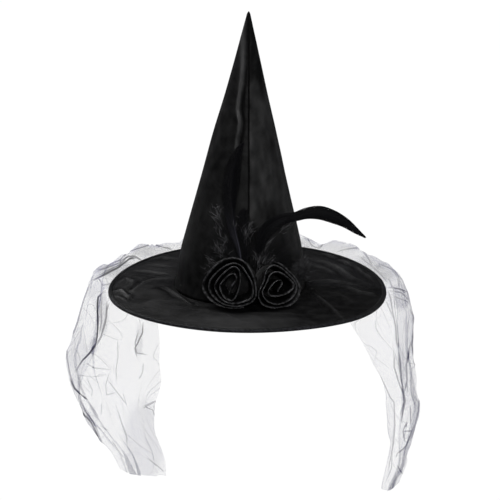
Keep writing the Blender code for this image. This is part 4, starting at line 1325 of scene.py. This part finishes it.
# Veil: one gathered net, from the front edge of its left tail round the back to that of the right one.
# Its shape is given one column at a time: each column leaves the rim somewhere, hangs through four depths
# and then stops.
veilNet = {
    "depths": 0.080,
    # angle on the rim, crest, lift, angles at each depth, reach at each depth, drop, size of the folds
    "columns": (
        (189, 0.197, 0.006, (184, 181, 179, 173), (0.206, 0.232, 0.214, 0.16), 0.284, 0.003),
        (177, 0.207, 0.011, (177, 176, 174, 168), (0.243, 0.243, 0.209, 0.162), 0.3, 0.006),
        (155, 0.206, 0.006, (156, 157, 156, 154), (0.23, 0.238, 0.212, 0.176), 0.322, 0.007),
        (134, 0.204, 0.012, (133, 132, 134, 135), (0.194, 0.188, 0.188, 0.173), 0.338, 0.004),
        (130, 0.204, 0.012, (130, 130, 132, 133), (0.196, 0.19, 0.188, 0.173), 0.112, 0.004),
        (92, 0.206, 0.013, (92, 92, 92, 92), (0.213, 0.211, 0.209, 0.207), 0.104, 0.006),
        (48, 0.206, 0.012, (44, 30, 20, 16), (0.203, 0.209, 0.216, 0.201), 0.11, 0.004),
        (44, 0.206, 0.012, (41, 27, 17, 13), (0.2, 0.207, 0.214, 0.2), 0.328, 0.004),
        (22, 0.207, 0.01, (18, 16, 13, 12), (0.226, 0.236, 0.24, 0.22), 0.328, 0.004),
        (4, 0.206, 0.012, (5, 5, 5, 4), (0.226, 0.232, 0.232, 0.207), 0.322, 0.004),
        (-7, 0.197, 0.006, (-3, 0, 1, 2), (0.207, 0.216, 0.214, 0.2), 0.3, 0.003),
    ),
    "steps": (48, 76, 58, 8, 34, 36, 8, 64, 64, 34),   # mesh columns between two of those
    "rowsOnBrim": 20,
    "rowsHanging": 196,
    "folds": 15,
    "thick": 0.0010,
    "footGap": 0.0020,       # between the crown's foot and the gathers
    "restsAt": 0.0009,       # over the brim
    "gather": 0.0016,
    "gathers": 55,
    "ripple": 0.0022,
    "raggedHem": 0.006,      # share of the drop
    "belly": 0.06,           # how much slower the net falls below the crest
    "tailsEnd": (3, 7),      # the left tail's last column and the right one's first
    "shortBack": 0.092,      # the drop beyond which no net joins a tail to the back
    # crumples: rise, size across, size down, seed
    "crumples": ((0.0030, 0.034, 0.075, 45), (0.0012, 0.013, 0.030, 46)),
    "wrinkles": ((0.040, 47, 0.20), (0.024, 48, 0.17)),   # size, seed, strength
    "wrinkleRise": 0.0008,
    "wrinkleHalf": 0.0009,
    "creaseRise": 0.0018,
    "creaseGain": 1.25,
    "creaseHalf": 0.9,
    "hemLine": (0.0012, 0.14, 0.005),   # the cut edge: half width, strength, how far in it fades
    # peaks of net that stand up behind the brim: rim angle, rise, half width in degrees
    "peaks": (
        (52, 0.0075, 4), (59, -0.004, 3), (40, 0.006, 5), (28, 0.004, 4), (112, 0.006, 6), (126, 0.005, 5),
        (140, 0.005, 6), (150, 0.006, 5), (99, 0.004, 5),
    ),
    # where the outline is drawn in or let out: a pixel and its move in pixels
    "nudges": (
        (82, 290, 5, 0), (73, 312, 7, 0), (67, 335, 5, 0), (66, 360, 0, 0), (70, 390, 1, 0),
        (81, 420, 3, -1), (88, 438, 8, -4), (98, 452, 8, -6), (108, 464, 7, -7), (118, 472, 3, -2),
        (130, 475, 0, 0), (146, 472, 0, 5), (158, 469, 5, 8), (164, 340, 0, 0), (163, 360, -1, 0),
        (161, 385, 3, 0), (160, 408, -3, 0), (163, 425, -6, 0), (164, 438, -6, 0), (165, 450, 2, 0),
        (163, 462, 1, 0), (125, 380, 0, 0), (125, 420, 0, 0), (360, 330, -11, 0), (366, 345, -8, 0),
        (373, 362, -5, 0), (381, 382, 0, 0), (389, 412, -3, 0), (390, 425, -3, 0), (386, 450, 3, 0),
        (384, 462, 3, 0), (383, 480, -1, 10), (399, 485, -3, -4), (405, 475, 3, 2), (412, 450, -2, 3),
        (417, 435, -1, 0), (418, 410, 4, 0), (416, 350, -2, 0), (410, 310, 3, 0), (403, 280, 1, 0),
        (92, 276, 0, -5), (98, 268, 0, -4), (118, 256, 0, 3), (146, 242, 0, 0), (162, 238, 0, 9),
        (171, 237, 0, 7), (315, 237, 0, 4), (330, 237, 0, 4), (370, 250, -2, 4), (378, 255, -1, 4),
        (386, 261, 0, -3), (406, 290, 2, -4),
    ),
    "nudgeReach": 13.0,      # pixels
    "hemMove": 16,           # pixels at most
    # the hems of the two tails: pixels along each
    "hems": (
        (112, 458, 118, 466, 124, 471, 130, 474, 142, 475.5, 166, 476),
        (379, 486, 383, 490, 388, 491, 393, 488.5, 398, 483, 402, 478, 406, 469, 409, 458),
    ),
    # folds: pixels along each, its strength and its half width in pixels
    "creases": (
        ((107, 290, 99.5, 297, 98.7, 306, 99, 318, 98.5, 330, 97, 344, 90, 353, 83, 360, 75, 373),
          0.72, 0.94),
        ((108, 300, 106.5, 318, 101.5, 337, 96.7, 347), 0.5, 1.1),
        ((103, 294, 102.5, 308, 102, 322, 99.5, 338), 0.36, 1.1),
        ((70, 377, 75, 388, 81.7, 395, 88, 400), 0.65, 0.77),
        ((78, 403, 83, 413, 91.7, 423, 96.7, 432, 101.7, 443, 103.5, 449), 0.58, 1.1),
        ((143, 321, 142.5, 333, 138, 343, 135, 348, 136.7, 358), 0.58, 0.85),
        ((139, 330, 135, 343, 136.7, 353, 147.5, 354.5), 0.43, 0.77),
        ((117.5, 337, 118, 357, 116, 370, 116.7, 383), 0.26, 0.77),
        ((86, 363, 95, 368, 110, 370), 0.22, 0.77), ((86.7, 377, 93, 390, 91.7, 397), 0.22, 0.77),
        ((110, 372, 106, 385, 106.7, 395, 118, 392), 0.22, 0.77),
        ((108, 380, 116.7, 392, 126.7, 405), 0.26, 0.77),
        ((118, 410, 121.7, 423, 126.7, 435, 128, 445), 0.32, 0.77),
        ((143, 407, 153, 402, 160, 400), 0.36, 0.77), ((111, 440, 118, 450, 124, 458), 0.29, 0.77),
        ((147, 458, 157, 465, 165, 473), 0.29, 0.77), ((102.5, 402, 101.7, 415), 0.22, 0.77),
        ((143, 362, 142.5, 372, 139, 380), 0.26, 0.77),
        ((68, 345, 67.5, 358, 70, 374, 75, 388), 0.26, 0.85),
        ((92, 281, 105, 275, 118, 268, 130, 259, 137, 258), 0.58, 1.02),
        ((120, 262, 128, 257, 135, 257, 143, 261), 0.43, 0.85),
        ((97, 271, 110, 267, 122, 262), 0.29, 0.85), ((153, 244, 162, 247.5, 173, 250), 0.5, 0.77),
        ((388, 288, 390, 300, 391.7, 312, 395, 328, 396.7, 342, 399, 350), 0.4, 0.94),
        ((386, 300, 390, 312, 394, 322), 0.27, 0.85),
        ((394, 340, 394, 367, 398, 380, 403, 393, 404, 402, 400, 416), 0.4, 0.85),
        ((409, 297, 413, 312, 412, 332, 411, 345, 414, 363, 416.5, 372), 0.36, 0.85),
        ((410, 348, 406, 365, 406.7, 380, 404, 394), 0.36, 0.85),
        ((375, 367, 383, 382, 390, 397, 394, 402, 395, 425, 394, 443, 390, 463, 388, 475), 0.38, 0.77),
        ((388, 287.5, 398, 289, 408, 292), 0.4, 0.68), ((388, 291, 400, 292.5, 410, 301), 0.27, 0.68),
        ((360, 248, 367, 257, 372, 266), 0.27, 0.77), ((337, 252, 348, 249, 360, 247.5), 0.27, 0.77),
        ((390, 267, 397, 277, 399, 289), 0.22, 0.85),
        ((306.7, 237, 311.7, 246, 320, 249, 324, 242), 0.31, 0.85), ((410, 405, 410.5, 425), 0.27, 0.77),
        ((407, 421, 403, 431, 405, 443), 0.27, 0.77), ((403, 431.7, 413, 430.8), 0.22, 0.68),
        ((407, 446, 398, 453, 396, 458), 0.27, 0.77), ((397, 465, 403, 475), 0.18, 0.77),
        ((364, 344, 372, 347, 377, 352, 374, 362), 0.14, 0.77),
        ((334.6, 252.6, 344, 250, 353, 248, 364, 250, 368, 259, 370.5, 264.6), 0.22, 0.59),
        ((357, 255, 369, 264.6, 380, 274, 388, 283), 0.2, 0.59),
        ((377, 263, 393, 270, 402.5, 280.5, 408, 292.5, 409.6, 307), 0.24, 0.59),
        ((388, 276.5, 393, 291, 394.4, 310, 397, 336, 399, 347), 0.31, 0.68),
        ((392, 287, 400, 290, 406, 294), 0.27, 0.59), ((389, 294, 400, 299, 409.6, 303), 0.18, 0.59),
        ((409.6, 307, 413, 318, 411.7, 336, 413.8, 352, 417, 371), 0.36, 0.77),
        ((399, 347, 399.7, 363, 401, 379, 405, 400, 402.4, 413.5, 401, 424), 0.4, 0.68),
        ((411.7, 336, 406.4, 360, 406.4, 379, 407.7, 395), 0.27, 0.68),
        ((394.4, 403, 394.4, 424, 393, 442.8, 391.8, 469, 385, 485), 0.27, 0.68),
        ((414.4, 424, 406.4, 445.4, 398.4, 453.4), 0.27, 0.59),
        ((418, 380, 419.5, 395, 418, 412, 414, 430, 409, 443), 0.18, 0.68),
        ((92, 279, 120, 265, 127, 258, 133, 256, 142, 260), 0.43, 0.59),
        ((98, 271, 120, 260, 128, 252, 152, 244, 163, 248, 175, 249), 0.36, 0.59),
        ((91, 283, 86, 297, 79, 322, 71, 342), 0.26, 0.68), ((97, 276, 104, 286, 113, 283), 0.26, 0.59),
        ((110, 302, 107, 313, 106, 323, 102.5, 335), 0.5, 0.59),
        ((85, 363, 93, 367.5, 103, 369, 112, 370), 0.26, 0.51),
        ((78, 375, 92, 377, 108, 375), 0.22, 0.51),
        ((115, 402, 120, 417, 123, 428, 127, 437, 128, 447), 0.29, 0.51),
        ((112, 440, 120, 453, 126, 468), 0.26, 0.51),
        ((80, 400, 86, 412, 94, 422, 99, 434, 106, 450), 0.36, 0.59),
        ((160, 400, 153, 403, 145, 407, 153, 410, 156, 422), 0.36, 0.59),
        ((123, 393, 125, 400, 127, 407), 0.26, 0.51), ((100, 425, 105, 429, 110, 432), 0.22, 0.51),
    ),
    # places where the net lies double or is drawn close: middle pixel, half sizes, how much
    "dense": (
        ((112, 268), (22, 9), 0.9), ((104, 312), (4.5, 26), 1.3), ((94, 346), (5, 9), 0.8),
        ((145, 440), (22, 42), 0.9), ((139, 340), (4, 16), 1), ((92, 424), (6, 20), 0.6),
        ((398, 297), (14, 13), 0.8), ((88, 320), (9, 28), -0.35), ((403, 425), (9, 25), -0.3),
        ((400, 364), (6, 22), 0.5), ((390, 425), (5, 34), 0.25), ((411, 330), (4, 30), 0.3),
        ((340, 246), (22, 7), 0.4), ((150, 250), (22, 7), 0.7), ((387, 480), (9, 12), 0.2),
        ((308, 243), (7, 7), 1), ((405, 440), (4, 12), 0.2), ((385, 272), (14, 10), 0.8),
        ((372, 262), (16, 8), 0.6),
    ),
}


def buildVeil():
    c = veilNet
    place = np.concatenate([[0.0], *[k + (np.arange(n) + 1) / n for k, n in enumerate(c["steps"])]])
    columns = c["columns"]
    k = np.minimum(place.astype(int), len(columns) - 2)
    share = place - k
    eased = easeShare(share)

    def read(values, s):
        values = np.array(values, float)
        return blendTo(values[k], values[k + 1], s if values.ndim == 1 else s[:, None])

    rims, crests, lifts, angles, reaches, drops, foldSizes = zip(*columns)
    rim = read(rims, share)
    crest = read(crests, eased)
    lift = read(lifts, eased)
    at = read([(first, *rest) for first, rest in zip(rims, angles)], share)
    reach = read([(first, *rest) for first, rest in zip(crests, reaches)], eased)
    drop = read(drops, share)
    folds = read(foldSizes, eased)
    wave = np.sin(2 * math.pi * c["folds"] * place / (len(columns) - 1))
    wave = wave + 0.5 * cloudOn(place * 6.1, 0, 41)
    rimAngle = np.radians(rim)
    peaks = sum(rise * bell(rim - angle, wide) for angle, rise, wide in c["peaks"])

    # on the brim: from gathers at the crown's foot to the crest over the rim
    out = np.linspace(0, 1, c["rowsOnBrim"] + 1)[:-1, None]
    foot = around(rimAngle, hat["footRadius"] + c["footGap"])
    edge = around(rimAngle, crest) + (hat["rimCentre"], 0)
    laid = foot + (edge - foot) * out[..., None]
    crestRise = lift + 0.3 * folds * (1 + wave) + peaks - brimDroop(rimAngle)
    gathers = c["gather"] * np.abs(np.sin(rimAngle * c["gathers"])) * bell(out - 0.05, 0.25)
    ripple = c["ripple"] * np.abs(cloudOn(rimAngle * 6, out * 3, 42)) * np.sin(math.pi * out)
    laidZ = brimTop + c["restsAt"] + crestRise * out ** 2 + gathers + ripple
    onBrimRows = np.concatenate([laid, laidZ[..., None]], -1)

    # hanging: down from the crest to the hem
    sag = np.linspace(0, 1, c["rowsHanging"] + 1)[:, None]
    level = sag * drop / c["depths"]
    angle = np.radians(through([at[:, n] for n in range(5)], level))
    reached = through([reach[:, n] for n in range(5)], level) + folds * wave * np.minimum(sag * 3, 1)
    fall = sag * (1 + c["raggedHem"] * cloudOn(place * 9, 0, 43))
    fall = fall - c["belly"] * np.sin(math.pi * np.minimum(sag * 4, 1))
    height = brimTop + crestRise + c["thick"] / 2 - drop * fall
    points = np.concatenate([onBrimRows, around(angle, reached, height) + (hat["rimCentre"], 0, 0)])
    hangShare = np.concatenate([np.zeros(c["rowsOnBrim"]), sag[:, 0]])[:, None]
    outShare = np.concatenate([out[:, 0], np.ones(c["rowsHanging"] + 1)])[:, None]

    # drawn in or let out to the photograph's outline
    pixel = inPhoto(points)
    total = np.zeros(points.shape[:2])
    moved = np.zeros(points.shape[:2] + (2,))
    for px, py, dx, dy in c["nudges"]:
        weight = bell(np.hypot(pixel[..., 0] - px, pixel[..., 1] - py), c["nudgeReach"])
        total += weight
        moved += weight[..., None] * (dx, dy)
    moved /= np.maximum(total, 0.7)[..., None]
    moved *= easeShare((outShare - 0.6) / 0.4)[..., None]
    # except behind the crown, where the photograph doesn't show it
    moved *= np.maximum(easeShare((4.8 - place) / 0.4), easeShare((place - 5.3) / 0.4))[None, :, None]
    points[..., 0] += moved[..., 0] * photo["across"]
    points[..., 2] -= moved[..., 1] * photo["upward"]

    # each tail's hem goes to its line, evened out over seven columns
    leftEnd, rightStart = c["tailsEnd"]
    inTail = (place <= leftEnd) | (place >= rightStart)
    evened = lambda values: np.convolve(values, np.ones(7), "same")
    for line in map(pairs, c["hems"]):
        end = inPhoto(points[-1])
        off = np.interp(end[:, 0], line[:, 0], line[:, 1]) - end[:, 1]
        held = inTail & (end[:, 0] > line[0, 0] - 3) & (end[:, 0] < line[-1, 0] + 3) & (end[:, 1] > 420)
        off = held * evened(off * held) / np.maximum(evened(held * 1.0), 1)
        off = np.clip(off, -c["hemMove"], c["hemMove"]) * easeShare((hangShare - 0.72) / 0.28)
        points[..., 2] -= off * photo["upward"]

    # lengths along the cloth, for the net's cells
    downRun = np.apply_along_axis(runOf, 0, np.linalg.norm(np.diff(points, axis=0), axis=-1))
    sideways = np.linalg.norm(np.diff(points, axis=1), axis=-1)
    acrossRun = runOf(sideways[c["rowsOnBrim"] + 20])
    uv = np.stack([np.broadcast_to(acrossRun, downRun.shape), downRun], -1)

    # crumples stretched down the drop; folds are kept as distances, so that the material draws them sharp
    loose = easeShare(hangShare * 8)
    a, b = uv[..., 0], uv[..., 1]
    drift = cloudOn(a / 0.09, b / 0.09, 44)
    (broadRise, *broad), (fineRise, *fine) = c["crumples"]
    push = broadRise * cloudOn(a / broad[0] + drift, b / broad[1] + drift, broad[2])
    push += fineRise * cloudOn(a / fine[0] + 2 * drift, b / fine[1] - drift, fine[2])
    push *= loose
    layers = []
    for size, seed, much in c["wrinkles"]:
        line = cloudOn(a / size + 1.5 * drift, b / (size * 1.7) + drift, seed)
        steep = np.hypot(np.gradient(line, axis=1) / np.maximum(np.gradient(a, axis=1), 1e-4),
                         np.gradient(line, axis=0) / np.maximum(np.gradient(b, axis=0), 1e-4))
        away = line / np.maximum(steep, 1e-3)
        patch = easeShare(0.5 + 1.5 * cloudOn(a / 0.06, b / 0.06, seed + 9)) * np.clip(steep * size, 0, 1)
        push += c["wrinkleRise"] * patch * np.maximum(1 - np.abs(away) / 0.0019, 0) * loose
        layers.append((away / c["wrinkleHalf"], much * patch * loose * bell(away, 0.004)))
    pixel = inPhoto(points)
    # the folds that were traced belong to the tails and to the crest, not to the short back's drop
    traced = easeShare(hangShare * 30) * ((place < leftEnd + 0.4) | (place > rightStart - 0.4))
    traced = np.maximum(traced, (hangShare < 0.10) * 1.0)
    named = [(np.full(a.shape, 9.0), np.zeros(a.shape)) for _ in range(4)]
    for line, strength, width in c["creases"]:
        away, along, side = lineDistance(pixel, pairs(line))
        ends = np.clip(np.minimum(along, 1 - along) * 6, 0, 1)
        mine = strength * c["creaseGain"] * ends * traced * easeShare((3.4 - away) / 1.4)
        push += c["creaseRise"] * strength * bell(away, width * 1.6) * ends * traced
        # in the first set where no other fold is near
        clear = [n for n in range(3) if not np.any((named[n][1] > 0) & (mine > 0))]
        signed, share = named[clear[0] if clear else 3]
        nearer = (mine > share) | ((share == 0) & (away < np.abs(signed)))
        signed[nearer] = (away * side / (width * c["creaseHalf"]))[nearer]
        share[nearer] = mine[nearer]
    layers += named
    sideEdge = np.minimum(acrossRun, acrossRun[-1] - acrossRun)
    cutEdge = np.minimum(sideEdge, (1 - hangShare) * drop + (hangShare == 0))
    half, strength, fades = c["hemLine"]
    layers.append((cutEdge / half, strength * bell(cutEdge, fades) * loose))
    dense = np.zeros(a.shape)
    for (px, py), (wide, tall), much in c["dense"]:
        inside = ((pixel[..., 0] - px) / wide) ** 2 + ((pixel[..., 1] - py) / tall) ** 2
        dense = dense + much * easeShare((1.25 - inside) / 0.8) * traced
    # nothing hangs between a tail's cut side and the short back
    between = (np.abs(place - leftEnd - 0.5) < 0.4) | (np.abs(place - rightStart + 0.5) < 0.4)
    gone = between & (hangShare * drop > c["shortBack"])
    fields = {"dense": dense, "hung": np.broadcast_to(easeShare((outShare - 0.88) / 0.12), a.shape)}
    for k, (away, strength) in enumerate(layers):
        fields |= {f"away{k}": away, f"fold{k}": strength}
    normal = np.cross(np.gradient(points, axis=1), np.gradient(points, axis=0))
    normal /= np.maximum(np.linalg.norm(normal, axis=-1), 1e-9)[..., None]
    points = points + normal * push[..., None]
    veil = gridPiece("veilNet", points, uv, blackNet, fields)
    with meshOf(veil) as made:
        unwanted = [vertex for vertex, away in zip(made.verts, gone.ravel()) if away]
        bmesh.ops.delete(made, geom=unwanted, context="VERTS")
    area = sum(face.area for face in veil.data.polygons)
    wide, long = round(float(acrossRun[-1]), 3), round(float(downRun.max()), 3)
    print(f"  veil: cut {wide} x {long} m, area {area:.4f} square metres")
    return veil, (wide, long), round(area, 3)


# The room: a pale floor well below the hat, soft boxes and a faint surround
studio = {
    "floor": -0.46,
    "floorSize": 12.0,
    "paper": (0.55, 0.55, 0.56, 1),
    "paperShine": 1.02,      # the camera sees the floor as a lit sheet of paper
    "surround": 0.015,
    # name, from, towards, width, height, watts
    "lights": (
        ("front", (0.5, -3.0, 1.9), (0.0, 0.0, 0.10), 0.8, 0.8, 33),
        ("overhead", (-0.6, 0.1, 2.6), (0.0, 0.0, 0.0), 1.4, 1.2, 50),
        ("backLeft", (-1.5, 1.8, 1.5), (0.0, 0.0, 0.0), 1.0, 0.8, 19),
        ("backRight", (1.7, 1.7, 1.4), (0.0, 0.0, 0.0), 1.0, 0.8, 5),
        ("lowRight", (2.3, -0.9, 0.5), (0.0, 0.0, 0.15), 0.7, 1.2, 6),
    ),
}


def buildStudio():
    size, low = studio["floorSize"] / 2, studio["floor"]
    mesh = bpy.data.meshes.new("paleFloor")
    corners = [(x * size, y * size, low) for x, y in ((-1, -1), (1, -1), (1, 1), (-1, 1))]
    mesh.from_pydata(corners, [], [(0, 1, 2, 3)])
    material = bpy.data.materials.new("paleFloor")
    material.use_nodes = True
    tree = material.node_tree
    tree.nodes.remove(tree.nodes["Principled BSDF"])
    paper = nodeOut(tree, "ShaderNodeBsdfDiffuse", {"Color": studio["paper"]})
    lit = nodeOut(tree, "ShaderNodeEmission", {"Strength": studio["paperShine"]})
    seen = nodeOut(tree, "ShaderNodeLightPath")
    mixed = nodeOut(tree, "ShaderNodeMixShader", {0: seen, 1: paper, 2: lit})
    feed(tree.nodes["Material Output"], "Surface", mixed)
    mesh.materials.append(material)
    putIn("paleFloor", mesh)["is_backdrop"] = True

    world = bpy.data.worlds.new("surround")
    world.use_nodes = True
    tree = world.node_tree
    sky = tree.nodes["Background"]
    sky.inputs["Color"].default_value = (1, 1, 1, 1)
    feed(sky, "Strength", larger(nodeOut(tree, "ShaderNodeLightPath"), studio["surround"]))
    bpy.context.scene.world = world
    for name, start, towards, width, height, watts in studio["lights"]:
        light = bpy.data.lights.new(name, "AREA")
        light.shape = "RECTANGLE"
        light.size, light.size_y, light.energy = width, height, watts
        lamp = putIn(name, light)
        lamp.location = start
        lamp.rotation_euler = (Vector(towards) - Vector(start)).to_track_quat("-Z", "Y").to_euler()

    view = bpy.data.cameras.new("photoView")
    view.lens = photo["lens"]
    view.sensor_width = photo["sensor"]
    camera = putIn("photoView", view)
    camera.location = photo["eye"]
    camera.rotation_euler = (math.pi / 2 - viewDown, 0, 0)
    bpy.context.scene.camera = camera
    bpy.context.scene.view_settings.view_transform = "Standard"
    print("floor, lights and camera set")


buildStudio()
finishPiece(buildCrown(), "crown")
finishPiece(buildBrim(), "brim")
tape, rimStitches = buildRim()
finishPiece(tape, "brim_binding")
finishPiece(rimStitches, None)
print("crown, brim and rim made")

finishPiece(buildRose("roseLeft", roses["left"]), "rose_left")
finishPiece(buildRose("roseRight", roses["right"]), "rose_right")
print("roses made")

finishPiece(buildFeather("featherTall", feathers["tall"]), "feather_tall")
finishPiece(buildFeather("featherShort", feathers["short"]), "feather_short")
finishPiece(buildFeather("featherCurved", feathers["curved"]), "feather_curved")
finishPiece(buildDown("downLeft", down["left"]), "down_left")
finishPiece(buildDown("downRight", down["right"], down["puff"]), "down_right")
print("feathers and down made")

veil, cut, cutArea = buildVeil()
finishPiece(veil, "veil")
print("veil made")

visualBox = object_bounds()
({"cad": [list(corner) for corner in modelBox],
           "visual": [list(corner) for corner in visualBox]})
